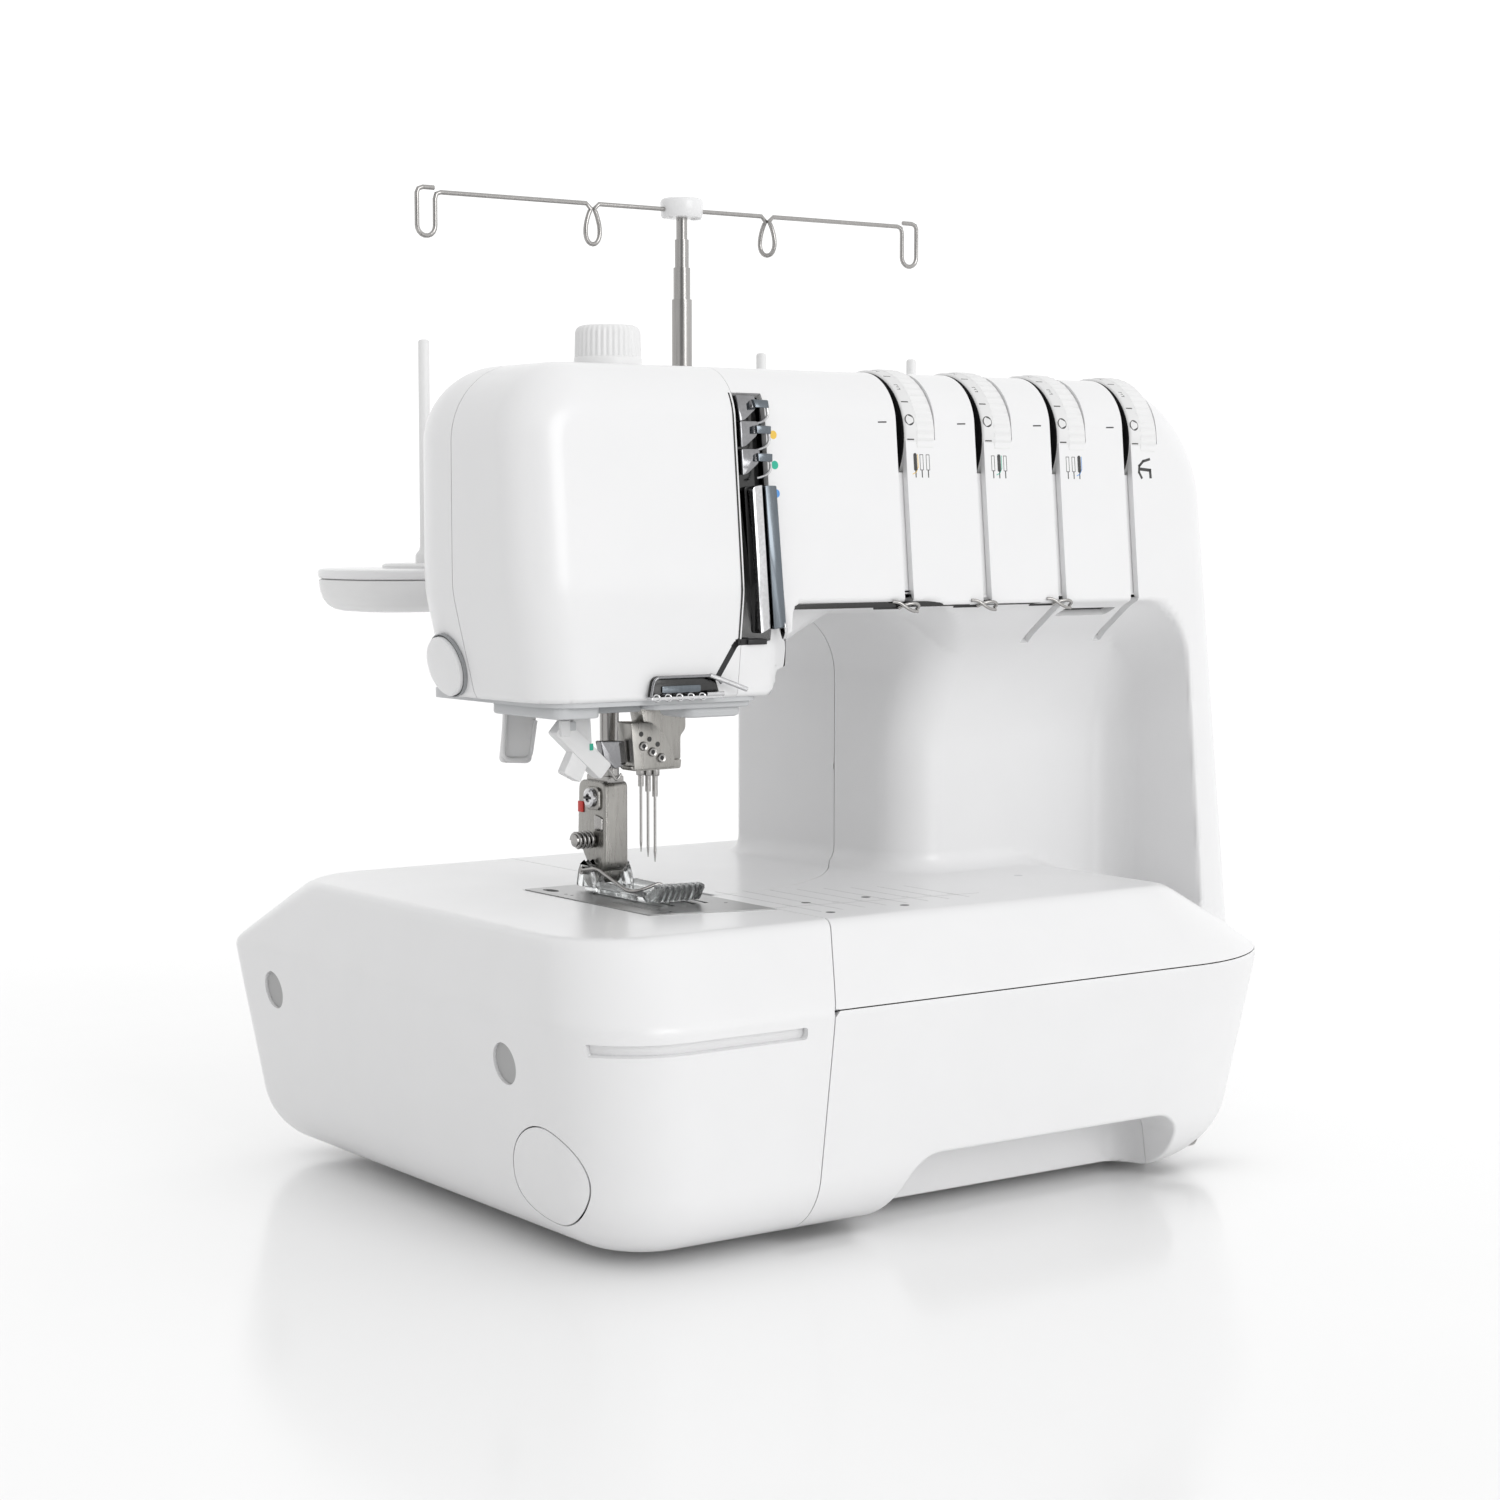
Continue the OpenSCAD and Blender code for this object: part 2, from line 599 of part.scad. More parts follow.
module motor_pulley() color(steel) {
    rod_x(279, 285, motor_axis.x, motor_axis.y, 3);
    rod_x(285, 295, motor_axis.x, motor_axis.y, 8);
}
looper_axis = [84, 58];
module looper() color(steel) {
    rod_y(70, 134, looper_axis.x, looper_axis.y, 4);
    block([80, 88, 58], [88, 92, 94]);
    block([80, 88, 93], [96, 91, 97]);
    along_y(88, 89.6) polygon([[96, 93], [96, 99], [73, 100.5], [70, 99.5]]);
}
module toothed_bars(y0, y1) for (x = feed_slots) block([x - 0.9, y0, 104], [x + 0.9, y1, bed_z + 0.1]);
module front_feed_dog() color(steel) {
    block([66, 66, 101.5], [93, 80, 105]);
    block([78, 44, 101.5], [84, 67, 104]);
    toothed_bars(66, 80);
}
module rear_feed_dog() color(steel) {
    block([66, 93, 101.5], [93, 107, 105]);
    block([78, 106, 101.5], [84, 140, 104]);
    toothed_bars(93, 107);
}

// ---- thread stand ----
tray_outline = [[tray_right - tray_l, tray_y - tray_w / 2, 30], [tray_right, tray_y - tray_w / 2, 30],
    [tray_right, tray_back, 30], [tray_right - tray_l, tray_back, 30]];
tray_z = 211;
pin_xs = [for (i = [-1.5:1:1.5]) tray_x + 1.5 + i * pin_pitch];
mast_x = tray_x + 1.5;
module spool_tray() color(white) difference() {
    union() {
        along_z(tray_z, 214) shape(tray_outline, 5);
        along_z(213.9, 218) shape(tray_outline, 2);
        along_z(217.9, 223.5) shape(tray_outline, 0.6);
        block([214, 190, 203], [306, 228, 212]);
    }
    along_z(214.5, 230) shape(tray_outline, 7.5);
    block([200, 150, 195], [320, 193, 230]);
}
module tray_lid() color(white) {
    along_z(223.6, 227.6) shape(tray_outline);
    for (x = pin_xs) rod_z(227.5, 229.5, x, tray_y, 17);
}
module spool_pins() color(white) for (x = pin_xs) {
    rod_z(229.5, 234, x, tray_y, 4);
    rod_z(233.9, 316.5, x, tray_y, 2.2);
}
tube_r = [4.2, 3.5, 2.9, 2.3];
tube_top = [337, 350, 361.5, 372.4];
module tube(i) color(steel) translate([mast_x, tray_y, 0]) difference() {
    rod_z(i == 0 ? 227.6 : 244 + 4 * i, tube_top[i], 0, 0, tube_r[i]);
    rod_z(i == 0 ? 232 : 243 + 4 * i, tube_top[i] + 1, 0, 0, i == 3 ? 1.6 : tube_r[i + 1] + fit);
}
module mast_tube_1() tube(0);
module mast_tube_2() tube(1);
module mast_tube_3() tube(2);
module mast_tube_4() tube(3);
wire_r = 0.9;
bar_half = 124;
module wire(a, b) translate(a) multmatrix(frame_to(unit(b - a))) cylinder(h = norm(b - a), r = wire_r, $fn = 16);
function frame_to(w) = let (u = unit(cross([0, 1, 0.01], w)), v = cross(w, u))
    [[u.x, v.x, w.x, 0], [u.y, v.y, w.y, 0], [u.z, v.z, w.z, 0], [0, 0, 0, 1]];
module square_loop(x, s) translate([x, 0, 0]) {
    wire([0, 0, 0], [0, 0, -18]);
    wire([0, 0, -18], [-8 * s, 0, -18]);
    wire([-8 * s, 0, -18], [-8 * s, 0, -2]);
}
module drop_loop(x) translate([x, 0, -10.5]) rotate([90, 0, 0]) rotate_extrude($fn = 32)
    translate([4.6, 0]) circle(wire_r, $fn = 16);
module thread_bar() {
    translate([mast_x, tray_y, thread_bar_z]) {
        color(steel) {
            wire([-bar_half, 0, 0], [bar_half, 0, 0]);
            for (s = [-1, 1]) {
                square_loop(s * bar_half, s);
                drop_loop(s * 43.5);
                wire([s * 43.5, 0, -6], [s * 43.5, 0, 0]);
            }
        }
        color(white) difference() {
            rod_z(-3, 4.8, 0, 0, 8.5);
            rod_z(-4, -0.95, 0, 0, 2.3 + fit);
        }
    }
}

// ---- right side ----
side_dial_places = [[150, 236], [150, 190]];
module side_dial(p) color(white) {
    along_x(column_side(p.y) + 0.8, column_side(p.y) + 8) translate(p) star(14, 0.7, 30);
    rod_x(312, column_side(p.y) + 0.9, p.x, p.y, 3.45);
}
module stitch_dial() side_dial(side_dial_places[0]);
module feed_dial() side_dial(side_dial_places[1]);
switch_y = 205;
module power_switch() color(dark) difference() {
    along_y(switch_y - 9, switch_y + 9)
        polygon([[313, 60], [323, 57.5], [324.5, 64], [323, 70.5], [313, 68]]);
    rod_y(switch_y - 10, switch_y + 10, 315, 64, 1);
}
module power_inlet() color(dark) difference() {
    block([304, 190.3, 28.3], [320, 219.7, 49.7]);
    block([307, 194, 31.5], [330, 216, 46.5]);
}

place() {
    base_tray();
    slide_on_table();
    table_plugs();
    looper_door();
    hinge_pins();
    front_cover();
    rear_cover();
    head_cover();
    head_side_cap();
    head_underplate();
    free_arm();
    needle_plate();
    chassis();
    cover_screws();
    rubber_feet();
    thread_channel();
    arm_thread_guides();
    lower_thread_guide();
    tension_axle();
    tension_discs();
    tension_dial_1();
    tension_dial_2();
    tension_dial_3();
    tension_dial_4();
    pressure_knob();
    presser_spring();
    presser_bar();
    foot_shank();
    shank_screws();
    presser_foot();
    foot_wire_guide();
    bar_bushes();
    lifter_lever();
    needle_bar();
    needle_clamp();
    needle_screws();
    needles();
    needle_threader();
    upper_shaft();
    lower_shaft();
    handwheel();
    timing_belt();
    motor();
    motor_pulley();
    drive_belt();
    looper();
    front_feed_dog();
    rear_feed_dog();
    spool_tray();
    tray_lid();
    spool_pins();
    mast_tube_1();
    mast_tube_2();
    mast_tube_3();
    mast_tube_4();
    thread_bar();
    stitch_dial();
    feed_dial();
    power_switch();
    power_inlet();
}
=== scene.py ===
"""Looks of a coverstitch serger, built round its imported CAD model.

Shapes are written in millimetres in bed coordinates, as the CAD's are: x from the bed's left edge, y
towards the thread stand and z up from the floor. metres() turns them into the frame's own coordinates.
"""
import math

import bmesh
import bpy
import numpy as np
from mathutils import Matrix, Vector
from mathutils.geometry import tessellate_polygon


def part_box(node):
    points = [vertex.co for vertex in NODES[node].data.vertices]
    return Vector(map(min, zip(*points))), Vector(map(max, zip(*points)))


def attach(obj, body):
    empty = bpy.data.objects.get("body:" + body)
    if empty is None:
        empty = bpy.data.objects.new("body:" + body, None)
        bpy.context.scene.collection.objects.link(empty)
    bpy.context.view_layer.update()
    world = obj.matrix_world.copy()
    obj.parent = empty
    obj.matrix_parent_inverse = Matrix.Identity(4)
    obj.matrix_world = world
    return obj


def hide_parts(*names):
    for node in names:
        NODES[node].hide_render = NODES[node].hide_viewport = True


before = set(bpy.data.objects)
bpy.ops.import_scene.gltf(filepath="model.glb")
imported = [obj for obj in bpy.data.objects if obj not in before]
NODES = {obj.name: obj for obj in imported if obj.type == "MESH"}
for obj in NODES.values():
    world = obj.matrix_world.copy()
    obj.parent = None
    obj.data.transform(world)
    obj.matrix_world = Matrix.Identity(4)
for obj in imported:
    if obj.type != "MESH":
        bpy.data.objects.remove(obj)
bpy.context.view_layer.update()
MM = 0.001

# ---- places that the frame gives ----
BAR_LOW, BAR_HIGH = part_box("presser_bar")
PRESSER_X, PRESSER_Y = 79.5, 111.5
BAR_X, BAR_Y = ((low + high) / 2 / MM for low, high in zip(BAR_LOW[:2], BAR_HIGH[:2]))
ORIGIN = np.array([BAR_X - PRESSER_X, BAR_Y - PRESSER_Y, 0])


def metres(points):
    """Bed coordinates in millimetres to the frame's coordinates in metres."""
    return (np.asarray(points, float) + ORIGIN) * MM


def place(x, y, z):
    return Vector(metres([x, y, z]))


def box_mm(node):
    """Lowest and highest corner of a CAD node in bed coordinates."""
    low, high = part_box(node)
    return np.array(low) / MM - ORIGIN, np.array(high) / MM - ORIGIN


BASE_LEFT, BASE_FRONT = box_mm("slide_on_table")[0][:2]
BASE_RIGHT = box_mm("base_tray")[1][0]
BASE_BACK = box_mm("slide_on_table")[1][1]
RIDGE = 84.0  # the height at which the base is widest
BED = box_mm("needle_plate")[1][2] - 0.3
TOP = box_mm("front_cover")[1][2]
TABLE_SEAM = 89.0  # the x at which the slide-on table ends, below the ridge
BED_SLOPE = 12.5  # how far that seam has moved to the right at the bed
PANEL = 217.0  # the lower edge of the arm's front panel
LEAN = 5 / 54  # how the front face leans back with height
FACE_Y = 45  # the front face at the panel's lower edge
HEAD_LEFT, HEAD_LOW = 6, 185.0
COLUMN_LEFT, COLUMN_RIGHT = 198, 323
THROAT_BACK = 88
IN_LEFT, IN_RIGHT, IN_FRONT, IN_BACK = 5.5, 65, 20, 40  # how far the base slopes in from ridge to bed
CREASE = 222.0  # below this height the head's front and left faces draw in
DRAW_IN = 0.2187
MID_HEIGHT = 150  # parts the base's mouldings from the upper ones
CHANNEL = 93.0  # the x at which the head cover ends and the front cover starts
HALF_SEAM = 0.22
WALL = 2.6
LENS = 68.4
CAMERA_PLACE = (-478, -758, 248)
CAMERA_YAW, CAMERA_PITCH = 35.5, 4.7
DIAL_Y, DIAL_Z, DIAL_R = 75.5, 276.0, 25.7
DIAL_X = [box_mm(f"tension_dial_{i}")[0][0] for i in (1, 2, 3, 4)]


# ---- camera, floor and lights ----
def make_camera():
    data = bpy.data.cameras.new("camera")
    data.lens = LENS
    camera = bpy.data.objects.new("camera", data)
    bpy.context.scene.collection.objects.link(camera)
    camera.location = place(*CAMERA_PLACE)
    yaw, pitch = math.radians(CAMERA_YAW), math.radians(CAMERA_PITCH)
    forward = Vector((math.sin(yaw) * math.cos(pitch), math.cos(yaw) * math.cos(pitch), -math.sin(pitch)))
    camera.rotation_mode = "QUATERNION"
    camera.rotation_quaternion = forward.to_track_quat("-Z", "Y")
    bpy.context.scene.camera = camera


def sun_light(name, direction, angle, power):
    """A soft light from far off: direction is the way its light travels."""
    data = bpy.data.lights.new(name, "SUN")
    data.angle = math.radians(angle)
    data.energy = power
    lamp = bpy.data.objects.new(name, data)
    bpy.context.scene.collection.objects.link(lamp)
    lamp.rotation_euler = Vector(direction).to_track_quat("-Z", "Y").to_euler()


def span(tree, value, start, end, low, high):
    """Turns value from start..end into low..high."""
    node = tree.nodes.new("ShaderNodeMapRange")
    for name, number in (("From Min", start), ("From Max", end), ("To Min", low), ("To Max", high)):
        node.inputs[name].default_value = number
    tree.links.new(value, node.inputs["Value"])
    return node.outputs["Result"]


def times(tree, a, b):
    node = tree.nodes.new("ShaderNodeMath")
    node.operation = "MULTIPLY"
    tree.links.new(a, node.inputs[0])
    tree.links.new(b, node.inputs[1])
    return node.outputs["Value"]


def make_world():
    """A bright room, dimmer at the machine's left and overhead, with a dark patch in front."""
    world = bpy.data.worlds.new("studio")
    bpy.context.scene.world = world
    world.use_nodes = True
    tree = world.node_tree
    coords = tree.nodes.new("ShaderNodeTexCoord")
    split = tree.nodes.new("ShaderNodeSeparateXYZ")
    tree.links.new(coords.outputs["Generated"], split.inputs["Vector"])
    front = tree.nodes.new("ShaderNodeVectorMath")
    front.operation = "DOT_PRODUCT"
    front.inputs[1].default_value = (-0.60, -0.80, 0.05)
    tree.links.new(coords.outputs["Generated"], front.inputs[0])
    side = span(tree, split.outputs["X"], -1.0, 0.1, 0.84, 1.14)
    above = span(tree, split.outputs["Z"], 0.1, 1.0, 1.0, 0.80)
    dark = span(tree, front.outputs["Value"], 0.90, 0.98, 1.0, 0.30)
    strength = times(tree, times(tree, side, above), dark)
    background = tree.nodes["Background"]
    background.inputs["Color"].default_value = (1, 1, 1, 1)
    tree.links.new(strength, background.inputs["Strength"])


def make_stage():
    floor_mesh = bpy.data.meshes.new("floor")
    half = 30.0
    corners = [(-half, -half, 0), (half, -half, 0), (half, half, 0), (-half, half, 0)]
    floor_mesh.from_pydata(corners, [], [(0, 1, 2, 3)])
    floor = bpy.data.objects.new("floor", floor_mesh)
    bpy.context.scene.collection.objects.link(floor)
    floor.data.materials.append(floor_material())
    make_world()
    sun_light("key", (-0.12, 1.0, -0.32), 30, 0.70)
    bpy.context.scene.view_settings.view_transform = "Standard"


# ---- materials ----
def node_material(name):
    material = bpy.data.materials.new(name)
    material.use_nodes = True
    tree = material.node_tree
    return material, tree, tree.nodes["Principled BSDF"]


def noise(tree, scale, detail, squash=(1, 1, 1)):
    """A noise texture in object coordinates, stretched by squash."""
    coords = tree.nodes.new("ShaderNodeTexCoord")
    mapping = tree.nodes.new("ShaderNodeMapping")
    mapping.inputs["Scale"].default_value = squash
    texture = tree.nodes.new("ShaderNodeTexNoise")
    texture.inputs["Scale"].default_value = scale
    texture.inputs["Detail"].default_value = detail
    tree.links.new(coords.outputs["Object"], mapping.inputs["Vector"])
    tree.links.new(mapping.outputs["Vector"], texture.inputs["Vector"])
    return texture.outputs["Fac"]


def ramp(tree, value, low, high):
    """Spreads value between two colours."""
    node = tree.nodes.new("ShaderNodeValToRGB")
    node.color_ramp.elements[0].position = 0.3
    node.color_ramp.elements[1].position = 0.7
    node.color_ramp.elements[0].color = (*low, 1)
    node.color_ramp.elements[1].color = (*high, 1)
    tree.links.new(value, node.inputs["Fac"])
    return node.outputs["Color"]


def finish_of(tree, shader, colour, gloss, low, high):
    """Gives the shader its colour, and a roughness that varies from low to high with gloss."""
    tree.links.new(colour, shader.inputs["Base Color"])
    tree.links.new(span(tree, gloss, 0, 1, low, high), shader.inputs["Roughness"])


def bump(tree, shader, value, strength, distance):
    node = tree.nodes.new("ShaderNodeBump")
    node.inputs["Strength"].default_value = strength
    node.inputs["Distance"].default_value = distance
    tree.links.new(value, node.inputs["Height"])
    tree.links.new(node.outputs["Normal"], shader.inputs["Normal"])


def plastic(name, colour, roughness, grain=0.02, coat=0.0):
    """Moulded plastic: faint mottling, uneven gloss and a fine moulded grain."""
    material, tree, shader = node_material(name)
    low = tuple(c * 0.985 for c in colour)
    mottled = ramp(tree, noise(tree, 35, 3), low, colour)
    finish_of(tree, shader, mottled, noise(tree, 60, 4), roughness - 0.04, roughness + 0.05)
    bump(tree, shader, noise(tree, 2600, 2), grain, 0.0002)
    shader.inputs["Coat Weight"].default_value = coat
    shader.inputs["Coat Roughness"].default_value = 0.12
    return material


def metal(name, colour, roughness, streak=(1, 1, 1), grain=0.05):
    """Metal whose brushing runs along the axis on which streak is smallest."""
    material, tree, shader = node_material(name)
    shader.inputs["Metallic"].default_value = 1.0
    low = tuple(c * 0.86 for c in colour)
    brushed = noise(tree, 900, 4, streak)
    finish_of(tree, shader, ramp(tree, brushed, low, colour), brushed, roughness * 0.8, roughness * 1.3)
    bump(tree, shader, brushed, grain, 0.0001)
    return material


def clear_plastic(name):
    material, tree, shader = node_material(name)
    shader.inputs["Transmission Weight"].default_value = 0.92
    shader.inputs["IOR"].default_value = 1.49
    tint = ramp(tree, noise(tree, 300, 2), (0.93, 0.95, 0.95), (0.99, 1, 1))
    finish_of(tree, shader, tint, noise(tree, 400, 3), 0.03, 0.12)
    return material


def floor_material():
    material, tree, shader = node_material("floor_white")
    white = ramp(tree, noise(tree, 3, 2), (0.96, 0.96, 0.96), (0.98, 0.98, 0.98))
    finish_of(tree, shader, white, noise(tree, 20, 2), 0.14, 0.18)
    return material


WHITE = plastic("white_plastic", (0.83, 0.83, 0.835), 0.30, coat=0.15)
WHITE_FINE = plastic("white_dial_plastic", (0.82, 0.82, 0.82), 0.36)
PALE = plastic("pale_grey_plastic", (0.56, 0.57, 0.58), 0.38)
GREY = plastic("grey_plastic", (0.33, 0.34, 0.35), 0.45, grain=0.05)
BLACK = plastic("black_plastic", (0.012, 0.012, 0.013), 0.4)
STEEL = metal("brushed_steel", (0.42, 0.41, 0.40), 0.22, (1, 1, 0.05))
SATIN_STEEL = metal("satin_steel", (0.46, 0.46, 0.46), 0.34, (0.05, 1, 1))
CHROME = metal("chrome", (0.66, 0.66, 0.67), 0.07, grain=0.01)
DARK_CHROME = metal("dark_chrome", (0.30, 0.30, 0.31), 0.10, grain=0.01)
CAST = metal("cast_aluminium", (0.45, 0.46, 0.47), 0.5, grain=0.3)
BRONZE = metal("sintered_bronze", (0.40, 0.28, 0.14), 0.4)
RUBBER = plastic("black_rubber", (0.02, 0.02, 0.02), 0.7, grain=0.1)
CLEAR = clear_plastic("clear_plastic")
PLUG_GREY = plastic("plug_grey_plastic", (0.42, 0.42, 0.42), 0.5)
CAST_STEEL = metal("cast_steel", (0.38, 0.37, 0.35), 0.27, (1, 1, 0.1), grain=0.15)
PALE_WHITE = plastic("pale_white_plastic", (0.70, 0.70, 0.71), 0.36)
STEEL_WIRE = metal("wire_steel", (0.42, 0.41, 0.40), 0.18, grain=0.02)
SLATE_CHROME = metal("slate_chrome", (0.16, 0.18, 0.20), 0.16, (1, 1, 0.1))
BLACK_CHROME = metal("black_chrome", (0.07, 0.07, 0.07), 0.12, grain=0.01)
INK = plastic("dark_ink", (0.05, 0.05, 0.05), 0.5)
FAINT_INK = plastic("grey_ink", (0.38, 0.38, 0.38), 0.5)
YELLOW = plastic("yellow_ink", (0.85, 0.55, 0.08), 0.4)
GREEN = plastic("green_ink", (0.02, 0.45, 0.30), 0.4)
BLUE = plastic("blue_ink", (0.08, 0.30, 0.72), 0.4)
RED = plastic("red_paint", (0.70, 0.04, 0.03), 0.4)


# ---- outlines as distance fields, negative inside ----
def all_of(*fields):
    """Negative where every field is."""
    return np.maximum.reduce(fields)


def any_of(*fields):
    """Negative where at least one field is."""
    return np.minimum.reduce(fields)


def round_max(a, b, r):
    """Where both are negative, with a fillet of radius r at the corner."""
    return np.minimum(np.maximum(a, b), -r) + np.hypot(np.maximum(a + r, 0), np.maximum(b + r, 0))


def round_min(a, b, r):
    return -round_max(-a, -b, r)


def soft(u, s=1.5):
    """u where it is positive and 0 where it is negative, rounded over about s."""
    return 0.5 * (u + np.sqrt(u * u + s * s))


def step(u):
    u = np.clip(u, 0, 1)
    return u * u * (3 - 2 * u)


def recess_outline(x, z):
    """Outline of the finger recess in the door, seen from the front."""
    left, right = 121 + 0.36 * z - x, x - 257 + 0.14 * z
    return np.maximum(round_max(left, z - 28, 9), round_max(right, z - 28, 9))


def base_field(x, y, z):
    """The low base: it widens up to the ridge, and slopes in from there to the bed."""
    up = soft(z - RIDGE) / (BED - RIDGE)
    down = soft(RIDGE - z) / 7
    left, right = BASE_LEFT + down + IN_LEFT * up - x, x - BASE_RIGHT + down + IN_RIGHT * up
    front, back = BASE_FRONT + down + IN_FRONT * up - y, y - BASE_BACK + down + IN_BACK * up
    share = np.clip(up, 0, 1)
    side = all_of(
        round_max(left, front, 34 - 6 * share), round_max(right, front, 70 - 60 * share),
        round_max(left, back, 14 + 20 * share), round_max(right, back, 30 - 18 * share))
    solid = round_max(round_max(side, z - BED, 3), 4 - z, 22)
    return round_max(solid, -round_max(recess_outline(x, z), y - 28.5, 9), 1)


def upper_field(x, y, z):
    """The head, the arm and the column, with the throat taken out."""
    in_head = 1 - step((x - 106) / 8)
    front_y = FACE_Y + LEAN * (z - PANEL) + DRAW_IN * soft(CREASE - z, 3) * in_head
    back_y = 142 + 23 * step((x - 92) / 34) + 28 * step((x - 172) / 26)
    left_top = round_max(HEAD_LEFT + 0.24 * soft(CREASE - z, 3) - x, z - TOP, 27)
    right_top = round_max(x - COLUMN_RIGHT + 4 / 222 * (z - 78), z - TOP, 46)
    front, back = (front_y - y) / math.hypot(1, LEAN), y - back_y
    body = all_of(
        round_max(left_top, front, 18), round_max(right_top, front, 14),
        round_max(left_top, back, 36), round_max(right_top, back, 16))
    near_front = 1 - step((y - 52) / 20)
    under = HEAD_LOW + near_front * 32 * step((x - 107) / 9)
    under = under + (1 - near_front) * 27 * np.clip((x - 109) / 36, 0, 1)
    beside = round_max(z - under, x - COLUMN_LEFT + 9 * np.clip((y - THROAT_BACK) / 102, 0, 1), 26)
    ledge = (z - PANEL + 0.7 * (y - FACE_Y)) / math.hypot(1, 0.7)
    ledge = round_max(ledge, z - under, 4)
    column = y - THROAT_BACK + 4 * np.clip((x - COLUMN_LEFT) / 103, 0, 1)
    before = round_max(round_max(column, x - 302, 14), ledge, 22)
    blend = np.clip((y - 48) * 0.7, 0.5, 18) * step((x - 107) / 20) + 0.1
    throat = round_min(beside, before, blend)
    return round_max(round_max(body, -throat, 1.6), 72 - z, 4)


def casing_field(x, y, z):
    return round_min(upper_field(x, y, z), base_field(x, y, z), 7)


# ---- a smooth skin over a field ----
def field_normals(field, points, h=0.05):
    values = field(*points.T)
    slopes = np.stack([field(*(points + d).T) - field(*(points - d).T) for d in np.eye(3) * h], 1) / (2 * h)
    size = np.maximum(np.linalg.norm(slopes, axis=1), 1e-6)
    return values / size, slopes / size[:, None]


def settle(field, points, rounds=4):
    """Moves points on to the field's zero surface, and returns them with its normals."""
    for _ in range(rounds):
        distance, normal = field_normals(field, points)
        points = points - np.clip(distance, -2, 2)[:, None] * normal
    return points, field_normals(field, points)[1]


def relax(points, quads):
    """Moves each point half the way to the middle of its neighbours."""
    total, number = np.zeros_like(points), np.zeros(len(points))
    for i in range(4):
        for j in ((i + 1) % 4, (i + 3) % 4):
            np.add.at(total, quads[:, i], points[quads[:, j]])
            np.add.at(number, quads[:, i], 1)
    return points * 0.5 + total / np.maximum(number, 1)[:, None] * 0.5


def skin(field, low, high, cell):
    """Triangles on the field's zero surface: one vertex in each grid cell that it crosses."""
    counts = np.ceil((np.array(high) - low) / cell).astype(int) + 1
    axes = [low[i] + cell * np.arange(counts[i]) for i in range(3)]
    values = field(*np.meshgrid(*axes, indexing="ij", sparse=True)) + np.zeros(counts)
    inside = values < 0
    cells = np.zeros(np.array(counts) - 1, int)
    for corner in np.ndindex(2, 2, 2):
        cells += inside[tuple(slice(c, n - 1 + c) for c, n in zip(corner, counts))]
    crossed = (cells > 0) & (cells < 8)
    index = np.full(crossed.shape, -1)
    index[crossed] = np.arange(crossed.sum())
    points = np.array(low) + cell * (np.argwhere(crossed) + 0.5)
    quads = []
    for axis in range(3):
        a, b = [i for i in range(3) if i != axis]
        here, there = [slice(None)] * 3, [slice(None)] * 3
        here[axis], there[axis] = slice(0, -1), slice(1, None)
        for inward in (False, True):
            first, second = inside[tuple(here)], inside[tuple(there)]
            at = np.argwhere(~first & second if inward else first & ~second)
            for i in (a, b):
                at = at[(at[:, i] > 0) & (at[:, i] < counts[i] - 1)]
            ring = []
            for da, db in ((-1, -1), (0, -1), (0, 0), (-1, 0)):
                spot = at.copy()
                spot[:, a] += da
                spot[:, b] += db
                ring.append(index[tuple(spot.T)])
            ring = np.stack(ring, 1)
            flip = inward != (axis == 1)
            quads.append(ring[:, ::-1] if flip else ring)
    quads = np.concatenate(quads)
    for _ in range(3):
        points = relax(settle(field, points, 2)[0], quads)
    points, normals = settle(field, points, 5)
    triangles = np.concatenate([quads[:, [0, 1, 2]], quads[:, [0, 2, 3]]])
    return points, normals, triangles


def refine(mesh, field, closeness, reach):
    """Halves the edges whose two ends are closer than reach, and settles the new vertices on the field."""
    points, normals, triangles = mesh
    flagged = closeness(*points.T) < reach
    edges = np.sort(np.concatenate([triangles[:, [0, 1]], triangles[:, [1, 2]], triangles[:, [2, 0]]]), 1)
    edges, back = np.unique(edges, axis=0, return_inverse=True)
    split = flagged[edges].all(1)
    middle = np.full(len(edges), -1)
    middle[split] = len(points) + np.arange(split.sum())
    fresh, fresh_normals = settle(field, points[edges[split]].mean(1))
    ab, bc, ca = middle[back.reshape(3, -1)]
    a, b, c = triangles.T
    count = (ab >= 0).astype(int) + (bc >= 0) + (ca >= 0)
    made = [triangles[count == 0]]
    k = count == 3
    for corners in ((a, ab, ca), (ab, b, bc), (ca, bc, c), (ab, bc, ca)):
        made.append(np.stack([v[k] for v in corners], 1))
    for p, q, r, pq, qr, rp in ((a, b, c, ab, bc, ca), (b, c, a, bc, ca, ab), (c, a, b, ca, ab, bc)):
        k = (count == 1) & (pq >= 0)
        made += [np.stack([v[k] for v in corners], 1) for corners in ((p, pq, r), (pq, q, r))]
        k = (count == 2) & (rp < 0)
        made += [np.stack([v[k] for v in corners], 1) for corners in ((p, pq, r), (pq, qr, r), (pq, q, qr))]
    return np.concatenate([points, fresh]), np.concatenate([normals, fresh_normals]), np.concatenate(made)


